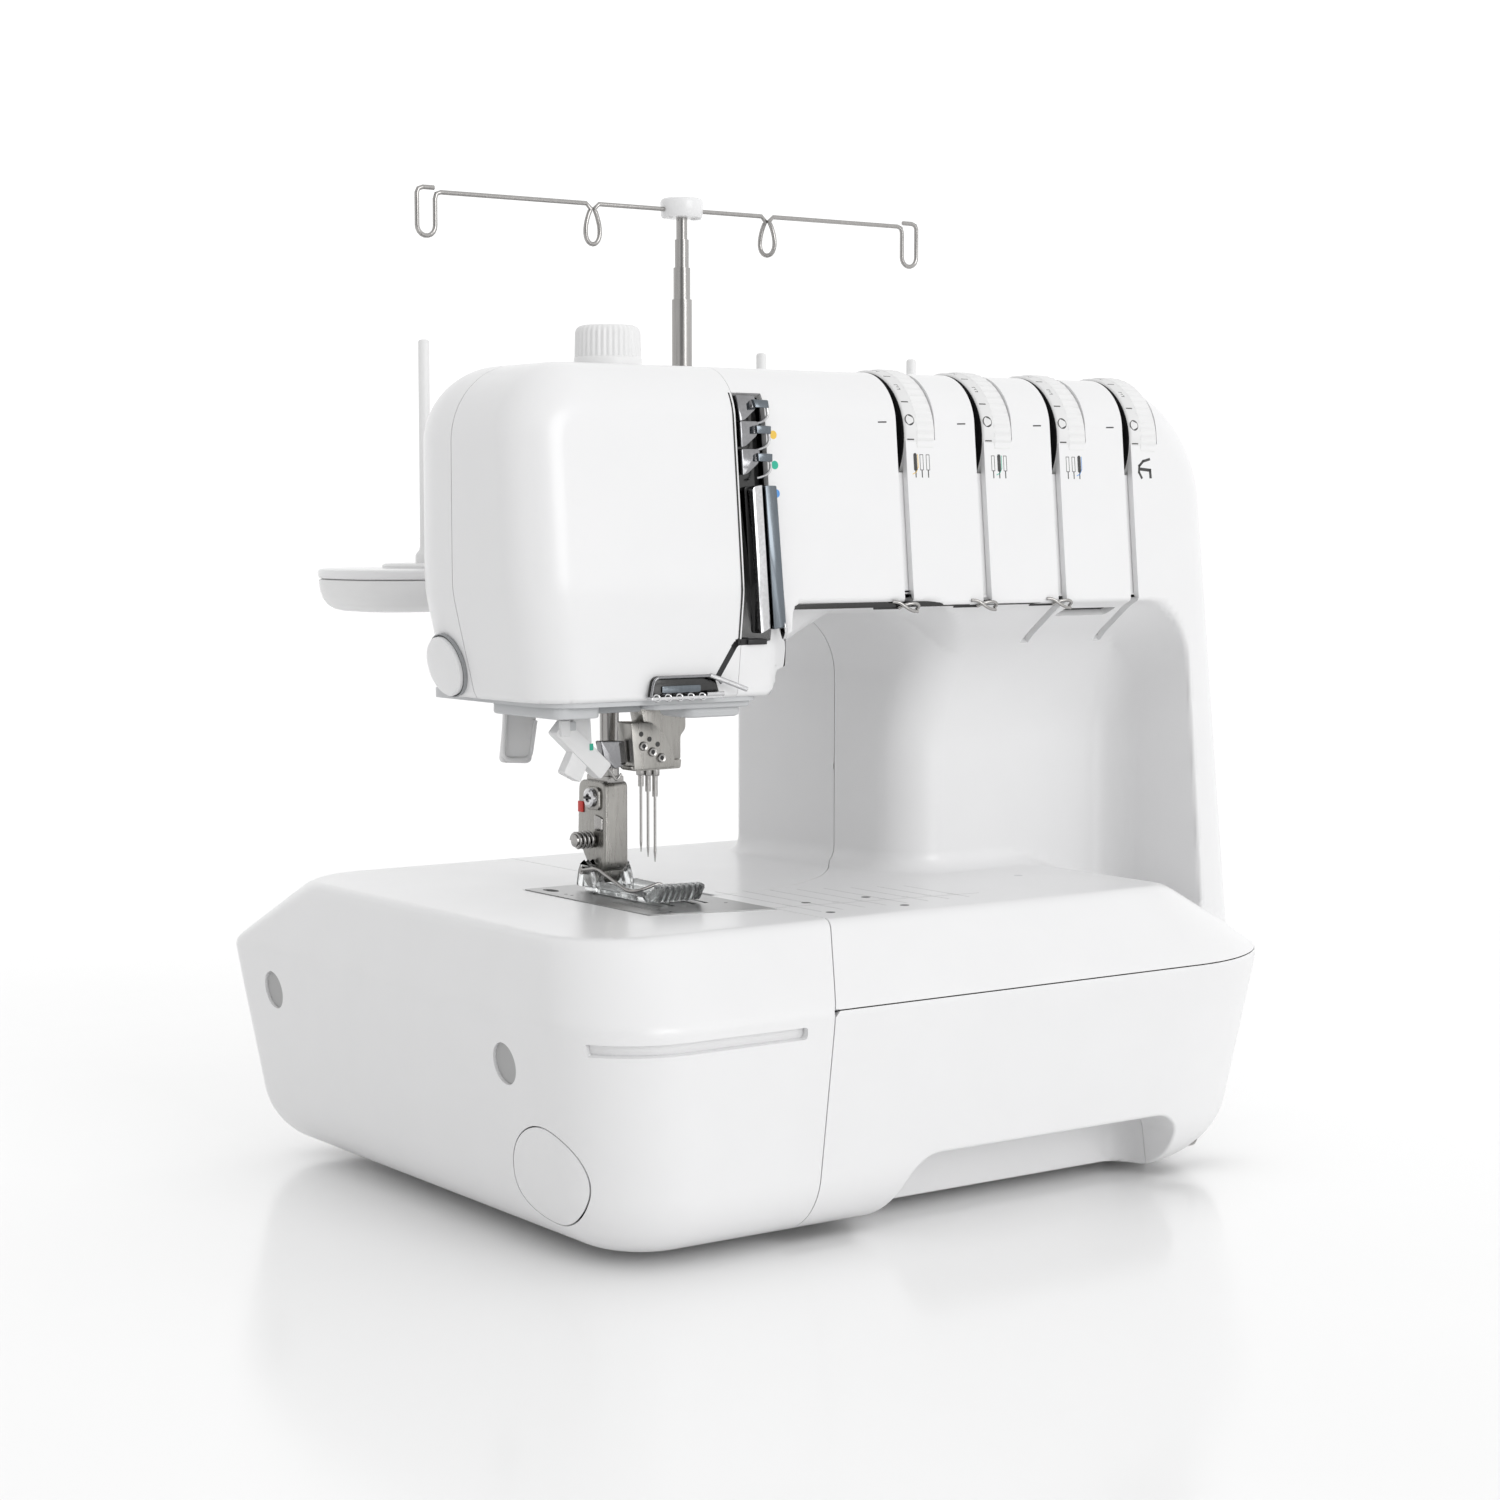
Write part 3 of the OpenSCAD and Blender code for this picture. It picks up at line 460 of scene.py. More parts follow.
def trim(mesh, region, grow=0.0):
    """The part of a mesh inside region, or up to grow outside it, cut cleanly along its edge."""
    points, normals, triangles = mesh
    value = region(*points.T) - grow
    value = np.where(np.abs(value) < 1e-4, 1e-4, value)
    inside = value[triangles] < 0
    count = inside.sum(1)
    whole = triangles[count == 3]
    new_points, new_normals, edge_index = [], [], {}

    def crossing(i, j):
        key = (min(i, j), max(i, j))
        if key not in edge_index:
            t = value[key[0]] / (value[key[0]] - value[key[1]])
            edge_index[key] = len(points) + len(new_points)
            new_points.append(points[key[0]] * (1 - t) + points[key[1]] * t)
            new_normals.append(normals[key[0]] * (1 - t) + normals[key[1]] * t)
        return edge_index[key]

    made = []
    partly = (count == 1) | (count == 2)
    for tri, ins in zip(triangles[partly], inside[partly]):
        turn = int(np.argmax(ins)) if ins.sum() == 1 else int(np.argmin(ins))
        a, b, c = (int(tri[(turn + k) % 3]) for k in range(3))
        if ins.sum() == 1:
            made.append((a, crossing(a, b), crossing(a, c)))
        else:
            ab, ac = crossing(a, b), crossing(a, c)
            made += [(ab, b, c), (ab, c, ac)]
    if new_points:
        points = np.concatenate([points, new_points])
        normals = np.concatenate([normals, new_normals])
    triangles = np.concatenate([whole, np.array(made, int).reshape(-1, 3)])
    used, inverse = np.unique(triangles, return_inverse=True)
    normals = normals[used] / np.linalg.norm(normals[used], axis=1, keepdims=True)
    return points[used], normals, inverse.reshape(-1, 3)


def shell_object(name, mesh, wall, material):
    """A moulding: the skin, an inner face wall behind it and the rim between them."""
    points, normals, triangles = mesh
    n = len(points)
    edges = np.concatenate([triangles[:, [0, 1]], triangles[:, [1, 2]], triangles[:, [2, 0]]])
    key = np.sort(edges, 1)
    _, first, number = np.unique(key, axis=0, return_index=True, return_counts=True)
    rim = edges[first[number == 1]]
    everything = np.concatenate([points, points - wall * normals])
    rims = np.concatenate([np.stack([rim[:, 1], rim[:, 0], rim[:, 0] + n], 1),
                           np.stack([rim[:, 1], rim[:, 0] + n, rim[:, 1] + n], 1)])
    faces = np.concatenate([triangles, triangles[:, ::-1] + n, rims])
    data = bpy.data.meshes.new(name)
    data.from_pydata(metres(everything), [], faces.tolist())
    corner = np.concatenate([normals[triangles], -normals[triangles[:, ::-1]]]).reshape(-1, 3)
    side = everything[rims]
    flat = np.cross(side[:, 1] - side[:, 0], side[:, 2] - side[:, 0])
    flat /= np.linalg.norm(flat, axis=1, keepdims=True) + 1e-12
    corner = np.concatenate([corner, np.repeat(flat, 3, 0)])
    data.polygons.foreach_set("use_smooth", [True] * len(faces))
    data.normals_split_custom_set(corner)
    data.materials.append(material)
    return link(name, data)


def link(name, data):
    made = bpy.data.objects.new(name, data)
    bpy.context.scene.collection.objects.link(made)
    return made


def finish_piece(piece, body, slot, *nodes):
    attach(piece, body)
    if nodes:
        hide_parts(*nodes)
    return piece


# ---- where the casing's mouldings part ----
def table_edge(z):
    """The x at which the slide-on table ends."""
    return TABLE_SEAM + BED_SLOPE * np.clip((z - RIDGE) / (BED - RIDGE), 0, 1)


def past_table(x, z):
    """Negative to the right of the table's seam."""
    return table_edge(z) + HALF_SEAM - x


def bed_seam(x, z):
    """The y at which the front cover ends and the rear cover starts."""
    on_bed = 80 + 48 * np.clip((x - 105) / 87, 0, 1) ** 2.4
    return np.where(z < MID_HEIGHT, on_bed, 128)


def convex(x, y, corners):
    """Distance field of a convex outline, its corners given anticlockwise."""
    sides = []
    for (ax, ay), (bx, by) in zip(corners, corners[1:] + corners[:1]):
        length = math.hypot(bx - ax, by - ay)
        sides.append(((by - ay) * (x - ax) - (bx - ax) * (y - ay)) / length)
    return all_of(*sides)


PLATE = [(56, 50), (100.5, 37.5), (101, 133), (56, 133)]


def plate_hole(x, y, z):
    return np.maximum(convex(x, y, PLATE) - 0.5, np.abs(z - BED) - 11)


def table_region(x, y, z):
    return all_of(x - table_edge(z) + HALF_SEAM, z - MID_HEIGHT, -plate_hole(x, y, z),
                  -slot_region(x, y, z),
                              -plug_region(x, y, z), -oval_region(x, y, z) + 0.25)


PLUGS = [(222, 68), (50.5, 66.6)]


def plug_region(x, y, z):
    return any_of(*[np.maximum(np.hypot(y - py, z - pz) - 7.2, x - 30) for py, pz in PLUGS])


def slot_region(x, y, z):
    return np.maximum(round_max(x - 78, np.abs(z - 77.5) - 2.1, 1.2), y - 5)


def oval_region(x, y, z):
    u, v = y - 33 + 0.1 * (z - 31), z - 31
    return np.maximum((np.hypot(u / 20.5, v / 17) - 1) * 17, x - 30)


def door_region(x, y, z):
    return all_of(past_table(x, z), z - RIDGE + HALF_SEAM, y - 15)


def electric_holes(x, y, z):
    """The openings round the power switch and the power inlet."""
    parts = []
    for low, high in (box_mm("power_switch"), box_mm("power_inlet")):
        sides = [np.abs(v - (a + b) / 2) - (b - a) / 2 - 1.3 for v, a, b in zip((x, y, z), low, high)]
        parts.append(all_of(*sides[1:], low[0] - 8 - x))
    return any_of(*parts)


def tray_region(x, y, z):
    hinge_room = all_of(np.hypot(y - 14, z - 14) - 14.2, 3 - recess_outline(x, z), x - 300)
    return all_of(past_table(x, z), z - RIDGE + HALF_SEAM, 15.3 - y,
                              -electric_holes(x, y, z), -hinge_room)


def window_region(x, y, z):
    """Openings for the dials and the thread slots beside them."""
    parts = []
    for x0 in DIAL_X:
        parts.append(all_of(np.abs(x - x0 - 6.65) - 7.1, 275.4 - z, y - 99.5))
        parts.append(all_of(np.abs(x - x0 + 2) - 2.05, PANEL - 1 - z, y - 93.5))
    return any_of(*parts)


def channel_region(x, y, z):
    return all_of(round_max(CHANNEL - 1.5 - x, z - 290.5, 1.5), x - CHANNEL - 12.5, 204.4 - z, y - 62)


def groove_region(x, y, z):
    """Grooves that lead the last two threads over the panel's lower edge."""
    slant = 0.1 * (PANEL - z)
    parts = [all_of(np.abs(x - DIAL_X[i] + 2 - slant) - 2, z - PANEL + 1, 199.5 - z, y - 75) for i in (2,
                                                                                                       3)]
    return any_of(*parts)


def vent_region(x, y, z):
    """The long dark opening under the panel's right end."""
    outline = round_max(np.abs(x - 257 - 0.8 * (z - 211.5)) - 13, np.abs(z - 211.6) - 1.5, 1)
    return np.maximum(outline, y - 75)


def front_region(x, y, z):
    low = np.maximum(past_table(x, z), z - MID_HEIGHT)
    high = np.maximum(CHANNEL + 0.08 - x, MID_HEIGHT - z)
    return all_of(np.minimum(low, high), RIDGE + HALF_SEAM - z, y - bed_seam(x, z) + HALF_SEAM,
                              -plate_hole(x, y, z), -window_region(x, y, z), -channel_region(x, y, z),
                              -groove_region(x, y, z), -vent_region(x, y, z))


def rear_region(x, y, z):
    low = all_of(past_table(x, z), z - MID_HEIGHT, bed_seam(x, z) + HALF_SEAM - y)
    beside = np.maximum(CHANNEL - HALF_SEAM - x, 128 + HALF_SEAM - y)
    high = np.maximum(MID_HEIGHT - z, np.minimum(beside, np.maximum(x - CHANNEL + HALF_SEAM,
                                                                    96 + HALF_SEAM - y)))
    return all_of(np.minimum(low, high), RIDGE + HALF_SEAM - z, -plate_hole(x, y, z),
                              -knob_hole(x, y, z), -underside(x, y, z))


def head_region(x, y, z):
    return all_of(MID_HEIGHT - z, x - CHANNEL + 0.08, y - 96 + HALF_SEAM, -underside(x, y, z))


def underside(x, y, z):
    """The openings under the head: the plate's own, and the lifter's behind it."""
    lever = np.maximum(np.abs(x - 51.2) - 9.6, y - 150)
    near_corner = round_max(19.5 - x, 54 - y, 14)
    return all_of(near_corner, x - 105, np.minimum(y - 138, lever), z - 192)


def knob_hole(x, y, z):
    return np.maximum(np.hypot(x - PRESSER_X, y - PRESSER_Y) - 5, 290 - z)


def cut_away(mesh, region, grow, depth):
    """The skin inside region, moved depth below the surface: the floor of a recess."""
    points, normals, triangles = trim(mesh, region, grow)
    return points - depth * normals, normals, triangles


OPENINGS = [slot_region, plug_region, oval_region, window_region, channel_region, plate_hole, groove_region,
            vent_region, knob_hole, electric_holes]


def near_details(x, y, z):
    """How far a point is from the edges that need a finer skin."""
    close = any_of(*[np.abs(region(x, y, z)) for region in OPENINGS])
    scoop = all_of(np.abs(recess_outline(x, z)), y - 30, z - 40)
    return np.minimum(close, scoop)


def make_casing():
    low, high = (BASE_LEFT - 6, BASE_FRONT - 6, -2), (BASE_RIGHT + 6, BASE_BACK + 6, TOP + 6)
    whole = skin(casing_field, low, high, 2.5)
    for reach in (4.0, 2.2):
        whole = refine(whole, casing_field, near_details, reach)
    parts = [
        ("table_shell", table_region, "table", "slide_on_table"),
        ("door_shell", door_region, "door", "looper_door"),
        ("tray_shell", tray_region, "machine", "base_tray"),
        ("front_shell", front_region, "machine", "front_cover"),
        ("rear_shell", rear_region, "machine", "rear_cover"),
        ("head_shell", head_region, "machine", "head_cover")]
    for name, region, body, node in parts:
        piece = shell_object(name, trim(whole, region), WALL, WHITE)
        finish_piece(piece, body, "white_plastic", node)
    make_recess_floors(whole)


def make_recess_floors(whole):
    """The floors of the recesses, each with its growth, depth and wall."""
    floors = [
        ("slot_floor", slot_region, 1.2, 2.7, 1.2, WHITE, "table", "white_plastic"),
        ("table_plug_discs", plug_region, -0.12, 1.1, 1.5, PLUG_GREY, "table", "grey_plastic"),
        ("oval_cap", oval_region, -0.25, 0.0, WALL, WHITE, "table", "white_plastic"),
        ("thread_slot_floors", slot_floors, 0.8, 2.9, 1.2, WHITE, "machine", "white_plastic"),
        ("groove_floors", groove_region, 0.8, 2.65, 1, WHITE, "machine", "white_plastic"),
        # Black floors deep in the open slots beside the dials: painted shade for the dark crevices there.
        ("shade_painted_wells", shade_painted_wells, 0.5, 6.0, 1, BLACK, "machine", "dark_plastic"),
        # A near-black floor behind the vent opening: painted shade inside the opening.
        ("vent_shade_floor", vent_region, 0.8, 2.7, 1, INK, "machine", "dark_plastic")]
    for name, region, grow, depth, wall, material, body, slot in floors:
        piece = shell_object(name, cut_away(whole, region, grow, depth), wall, material)
        finish_piece(piece, body, slot)
    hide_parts("table_plugs")


def slot_floors(x, y, z):
    parts = [np.abs(x - x0 + 2) - 2.05 for x0 in DIAL_X]
    return all_of(any_of(*parts), PANEL - 1 - z, z - 263, y - 70)


# Where black floors stand in for the shade in the open upper slots beside the dials (painted shade).
def shade_painted_wells(x, y, z):
    parts = [np.abs(x - x0 + 3.2) - 2.2 for x0 in DIAL_X]
    return all_of(any_of(*parts), 262 - z, y - 95)


# ---- solids that pieces are put together from ----
ALONG = {"x": lambda u, v, w: (w, u, v), "y": lambda u, v, w: (u, w, v), "z": lambda u, v, w: (u, v, w)}


def curve(start, corner, end, t):
    """The place at t on the bend that rounds a corner."""
    return (1 - t) ** 2 * start + 2 * t * (1 - t) * corner + t * t * end


def rounded(corners, steps=5):
    """An outline whose corners, given as (u, v, radius), are rounded."""
    outline = []
    for i, (u, v, r) in enumerate(corners):
        before, here, after = (np.array(corners[k % len(corners)][:2], float) for k in (i - 1, i, i + 1))
        start, end = (here + (o - here) / np.linalg.norm(o - here) * r for o in (before, after))
        for t in np.linspace(0, 1, steps + 1):
            outline.append(tuple(curve(start, here, end, t)))
    return outline


def oblong(u0, v0, u1, v1, r, steps=5):
    """A rectangle with rounded corners."""
    return rounded([(u0, v0, r), (u1, v0, r), (u1, v1, r), (u0, v1, r)], steps)


def hole(u0, v0, u1, v1, r, steps=5):
    """The same as oblong, but clockwise, as a hole's outline is."""
    return rounded([(u0, v0, r), (u0, v1, r), (u1, v1, r), (u1, v0, r)], steps)


def angles(count):
    return [2 * math.pi * i / count for i in range(count)]


def circle(u, v, r, count=32):
    return [(u + r * math.cos(a), v + r * math.sin(a)) for a in angles(count)]


def bent_path(points, r, steps=6):
    """A path whose inner corners are bends of about radius r."""
    points = [np.array(p, float) for p in points]
    path = [points[0]]
    for before, here, after in zip(points, points[1:], points[2:]):
        reach = min(r, *(np.linalg.norm(o - here) * 0.5 for o in (before, after)))
        start, end = (here + (o - here) / np.linalg.norm(o - here) * reach for o in (before, after))
        path += [curve(start, here, end, t) for t in np.linspace(0, 1, steps)]
    return path + [points[-1]]


def join_rings(solid, a, b):
    for i in range(len(a)):
        j = (i + 1) % len(a)
        solid.faces.new((a[i], a[j], b[j], b[i]))


class Piece:
    """Gathers solids, given in bed coordinates, into one object."""

    def __init__(self, name):
        self.name, self.mesh, self.materials = name, bmesh.new(), []

    def take(self, solid, material, bend=None, sharp=35):
        if material not in self.materials:
            self.materials.append(material)
        bmesh.ops.recalc_face_normals(solid, faces=solid.faces)
        for face in solid.faces:
            face.material_index = self.materials.index(material)
            face.smooth = True
        for edge in solid.edges:
            edge.smooth = edge.calc_face_angle(0) < math.radians(sharp)
        for vertex in solid.verts if bend else ():
            vertex.co = bend(*vertex.co)
        data = bpy.data.meshes.new("solid")
        solid.to_mesh(data)
        solid.free()
        self.mesh.from_mesh(data)
        bpy.data.meshes.remove(data)

    def rings(self, rings, material, closed=False, bend=None, sharp=35):
        """A solid through rings of points, capped unless it closes on itself."""
        solid = bmesh.new()
        made = [[solid.verts.new(p) for p in ring] for ring in rings]
        pairs = list(zip(made, made[1:])) + ([(made[-1], made[0])] if closed else [])
        for a, b in pairs:
            join_rings(solid, a, b)
        if not closed:
            solid.faces.new(made[0])
            solid.faces.new(made[-1][::-1])
        self.take(solid, material, bend, sharp)

    def extrude(self, outline, axis, low, high, material, bevel=0.3, bend=None, segments=2):
        """A block over an outline, whose corners are rounded where they hold a radius."""
        outline = rounded(outline) if len(outline[0]) == 3 else outline
        solid = bmesh.new()
        a, b = ([solid.verts.new(ALONG[axis](u, v, w)) for u, v in outline] for w in (low, high))
        join_rings(solid, a, b)
        solid.faces.new(a)
        solid.faces.new(b[::-1])
        bmesh.ops.recalc_face_normals(solid, faces=solid.faces)
        edges = [e for e in solid.edges if e.calc_face_angle(0) > 0.6]
        if bevel:
            bmesh.ops.bevel(solid, geom=edges, offset=bevel, segments=segments, profile=0.5, affect="EDGES",
                            clamp_overlap=True)
        self.take(solid, material, bend)

    def box(self, low, high, material, bevel=0.3, bend=None):
        outline = [(low[0], low[1]), (high[0], low[1]), (high[0], high[1]), (low[0], high[1])]
        self.extrude(outline, "z", low[2], high[2], material, bevel, bend)

    def turn(self, profile, axis, centre, material, count=48, ribs=None, sharp=35, bend=None):
        """Turns (radius, distance along the axis) points; ribs are (number, depth, low, high)."""
        rings = []
        for r, w in profile:
            ring = []
            for angle in angles(count):
                ribbed = ribs and ribs[2] <= w <= ribs[3]
                dip = ribs[1] * (0.5 - 0.5 * math.cos(ribs[0] * angle)) if ribbed else 0
                u, v = (r - dip) * math.cos(angle), (r - dip) * math.sin(angle)
                ring.append(np.array(ALONG[axis](u, v, w)) + centre)
            rings.append(ring)
        self.rings(rings, material, bend=bend, sharp=sharp)

    def wire(self, path, radius, material, count=8, closed=False):
        path = [Vector(p) for p in path]
        tangents = []
        for i, here in enumerate(path):
            before = path[i - 1] if i or closed else here
            after = path[(i + 1) % len(path)] if i < len(path) - 1 or closed else here
            tangents.append((after - before).normalized())
        side = tangents[0].orthogonal().normalized()
        rings = []
        for here, tangent in zip(path, tangents):
            side = (side - tangent * side.dot(tangent)).normalized()
            other = tangent.cross(side)
            spokes = [math.cos(a) * side + math.sin(a) * other for a in angles(count)]
            rings.append([here + radius * spoke for spoke in spokes])
        self.rings(rings, material, closed, sharp=60)

    def plate(self, outlines, axis, low, high, material, bend=None):
        """A flat plate: its outer outline, then the outlines of its holes."""
        solid = bmesh.new()
        layers = []
        for w in (low, high):
            layers.append([solid.verts.new(ALONG[axis](u, v, w)) for outline in outlines for u,
                           v in outline])
        faces = tessellate_polygon([[Vector((u, v, 0)) for u, v in outline] for outline in outlines])
        for a, b, c in faces:
            solid.faces.new((layers[0][a], layers[0][b], layers[0][c]))
            solid.faces.new((layers[1][c], layers[1][b], layers[1][a]))
        start = 0
        for outline in outlines:
            for i in range(len(outline)):
                p, q = start + i, start + (i + 1) % len(outline)
                solid.faces.new((layers[0][p], layers[0][q], layers[1][q], layers[1][p]))
            start += len(outline)
        self.take(solid, material, bend)

    def stroke(self, points, width, material, surface, depth=0.12):
        """A printed line on a surface, which turns (u, v, height) into a place."""
        for (au, av), (bu, bv) in zip(points, points[1:]):
            length = math.hypot(bu - au, bv - av) + 1e-9
            du, dv = (bu - au) / length * width / 2, (bv - av) / length * width / 2
            corners = [(au - du + dv, av - dv - du), (bu + du + dv, bv + dv - du),
                       (bu + du - dv, bv + dv + du), (au - du - dv, av - dv + du)]
            self.rings([[surface(u, v, h) for u, v in corners] for h in (-depth, 0.03)], material)

    def dot(self, u, v, r, material, surface, height=0.02, count=20, squash=1.0):
        ring = [((a - u) * squash + u, b) for a, b in circle(u, v, r, count)]
        self.rings([[surface(a, b, h) for a, b in ring] for h in (-0.12, height)], material)

    def done(self, body, slot, *nodes):
        data = bpy.data.meshes.new(self.name)
        self.mesh.to_mesh(data)
        self.mesh.free()
        data.transform(Matrix.Scale(MM, 4) @ Matrix.Translation(Vector(ORIGIN)))
        for material in self.materials:
            data.materials.append(material)
        return finish_piece(link(self.name, data), body, slot, *nodes)


# ---- the surfaces that marks are printed on ----
def panel_y(x, z):
    """The y of the arm's and head's front face."""
    over = min(max(z - TOP + 18, 0), 17)
    head = DRAW_IN * max(CREASE - z, 0) if x < 106 else 0
    return FACE_Y + LEAN * (z - PANEL) + head + 18 - math.sqrt(324 - over * over)


def on_panel(x, z, h):
    return (x, panel_y(x, z) - h, z)


def on_bed(x, y, h):
    return (x, y, BED + h)


def on_plate(x, y, h):
    return (x, y, BED + 0.3 + h)


def leaning(x, y, z):
    """Moves a solid built against y = 0 on to the front face."""
    return (x, y + panel_y(x, z), z)


DIGITS = {
    "0": [[(0, 0), (1, 0), (1, 2), (0, 2), (0, 0)]],
    "1": [[(0.2, 1.6), (0.6, 2), (0.6, 0)]],
    "2": [[(0, 2), (1, 2), (1, 1.1), (0, 0), (1, 0)]],
    "3": [[(0, 2), (1, 2), (1, 0), (0, 0)], [(0.3, 1), (1, 1)]],
    "4": [[(0.8, 0), (0.8, 2), (0, 0.6), (1.1, 0.6)]],
    "5": [[(1, 2), (0, 2), (0, 1.1), (1, 1.1), (1, 0), (0, 0)]],
    "6": [[(1, 2), (0, 1), (0, 0), (1, 0), (1, 1), (0, 1)]],
    "7": [[(0, 2), (1, 2), (0.4, 0)]],
    "8": [[(0, 0), (1, 0), (1, 2), (0, 2), (0, 0)], [(0, 1), (1, 1)]],
    "9": [[(0, 0), (1, 0), (1, 2), (0, 2), (0, 1), (1, 1)]]}


def draw_digit(piece, digit, u, v, size, material, surface):
    for line in DIGITS[digit]:
        points = [(u + (a - 0.5) * size, v + (b - 1) * size) for a, b in line]
        piece.stroke(points, size * 0.2, material, surface)


# ---- tension dials ----
def make_dials():
    band = DIAL_R - 0.5
    profile = [(4, 0), (band - 0.8, 0), (band, 0.7), (band, 4.7), (DIAL_R - 0.1, 5.1), (DIAL_R, 5.5),
               (DIAL_R, 12.4), (DIAL_R - 0.6, 13.3), (4, 13.3)]
    for i, x0 in enumerate(map(float, DIAL_X)):
        dial = Piece(f"dial_{i + 1}_wheel")
        centre = (x0, DIAL_Y, DIAL_Z)
        dial.turn(profile, "x", centre, WHITE_FINE, 300, (50, 0.7, 5.3, 12.5), sharp=50)
        # A black disc on the dial's left side: painted shade for the dark gap between the panel's slot edge
        # and the dial's numbers.
        dial.turn([(4, -0.3), (band - 0.9, -0.3), (band - 0.9, 0.1), (4, 0.1)], "x", centre, BLACK, 90)

        def on_dial(u, v, h):
            angle = v / band
            return (x0 + u, DIAL_Y - (band + h) * math.cos(angle), DIAL_Z + (band + h) * math.sin(angle))

        step_arc = math.radians(32.4) * band
        for k, digit in enumerate("0123456789"):
            v = math.radians(15) * band + (4 - k) * step_arc
            if digit == "4":
                dial.dot(2.4, v, 2.1, INK, on_dial)
                draw_digit(dial, digit, 2.4, v, 0.95, WHITE_FINE, lambda u, w, h: on_dial(u, w, h + 0.03))
            else:
                draw_digit(dial, digit, 2.4, v, 1.25, INK, on_dial)
            dial.stroke([(0.9, v + step_arc / 2), (3.6, v + step_arc / 2)], 0.45, INK, on_dial)
        dial.done(f"dial_{i + 1}", "white_plastic", f"tension_dial_{i + 1}")


# ---- chrome thread path ----
def make_thread_path():
    path = Piece("thread_channel_chrome")
    profile = [(91.6, -0.15), (92.2, -0.15), (95.6, 4.2), (106, 4.2), (106, 5.2), (91.6, 5.2)]
    rings = [[(x, panel_y(x, z) + d, z) for x, d in profile] for z in np.linspace(203.6, 290.4, 24)]
    path.rings(rings, BLACK_CHROME)
    for top in (289.6, 280.6, 271.0):
        tooth = [(94.2, top, 0.6), (101.8, top, 1), (101.4, top - 4.5, 1.5), (96, top - 8.6, 1.2),
                 (94.2, top - 9, 0.3)]
        path.extrude(tooth, "y", -1.0, 3.2, DARK_CHROME, 0.5, leaning)
        lip = [(99.6, top - 1.4, 0.4), (105.8, top - 1.6, 0.4), (105.6, top - 4.4, 0.4),
               (99.8, top - 4.3, 0.4)]
        path.extrude(lip, "y", -3.0, -1.2, SLATE_CHROME, 0.3, leaning)
        path.box((99.6, -1.4, top - 4.2), (102.4, 1.5, top - 1.6), CHROME, 0.3, leaning)
        stem = bent_path([(105.1, -2.2, top - 4), (105.3, -2.0, top - 7.4), (103.6, -0.6, top - 9.2),
                          (101.2, 0.6, top - 10)], 2)
        path.wire([leaning(*p) for p in stem], 0.55, CHROME)
    left = [(96.8, 258, 1.6), (100.9, 258.6, 0.5), (103.3, 209, 0.3), (99.4, 207.2, 0.3)]
    right = [(101.6, 258.4, 0.4), (106.4, 258.4, 0.6), (107.4, 209.4, 0.4), (104.3, 208.6, 0.3)]
    path.extrude(left, "y", -2.6, 2.6, CHROME, 0.4, leaning)
    path.extrude(right, "y", -3.4, 2.6, SLATE_CHROME, 0.4, leaning)
    blade = [(48, 232, 1), (43.2, 221, 4), (40.6, 208, 2), (42.4, 204.6, 1), (46.5, 212, 4)]
    path.extrude(blade, "x", 106.9, 108.1, CHROME, 0.35)
    path.box((95.4, -0.9, 203.3), (103.5, 1.4, 205.2), BLACK, 0.2, leaning)
    strip = [(97.5, 204.4), (91.6, 204.3), (90.4, 203.2), (84.6, 193.4)]
    path.stroke(strip, 2.2, BLACK, on_panel, 0.6)
    path.done("machine", "chrome", "thread_channel")


def make_lower_guide():
    guide = Piece("lower_guide_chrome")
    face = [(55, 186, 0.8), (84.6, 186, 0.8), (82.2, 193.2, 0.8), (56.4, 193.6, 2.5)]
    guide.extrude(face, "y", 48.4, 49.6, BLACK_CHROME, 0.3)
    rim = [(55.2, 47.2, 186.6), (56.2, 46.6, 193.2), (81.5, 46.4, 193.2), (84.3, 47.4, 190.5)]
    guide.wire(bent_path(rim, 2.5), 0.55, DARK_CHROME)
    lip = rounded([(54.6, 46.2, 0.6), (84.8, 46.2, 0.8), (84.8, 49.4, 0.3), (54.6, 49.4, 0.3)])
    eyes = [57 + 4.7 * i for i in range(5)]
    guide.plate([lip] + [circle(x, 47.6, 1.05, 16)[::-1] for x in eyes], "z", 185.6, 186.5, CHROME)
    for x in eyes:
        eye = [(x + 1.3 * math.cos(a), 46.6 + 0.4 * math.sin(a), 186.2 + 1.1 * math.sin(a))
               for a in np.linspace(0, 2 * math.pi, 16, endpoint=False)]
        guide.wire(eye, 0.32, CHROME, 6, closed=True)
    guide.wire([(77.5, 46.4, 186.9), (84.6, 46.4, 186.9)], 0.8, CHROME)
    inner = oblong(60, 187.6, 76, 190.2, 0.8)
    guide.extrude(inner, "y", 47.6, 48.6, SLATE_CHROME, 0.25)
    finger = [(79, 46.6, 193.4), (84, 46, 191.6), (90.5, 45.2, 189.2), (93.4, 44.9, 188.1)]
    guide.wire(bent_path(finger, 2), 0.9, CHROME)
    guide.done("machine", "chrome", "lower_thread_guide")


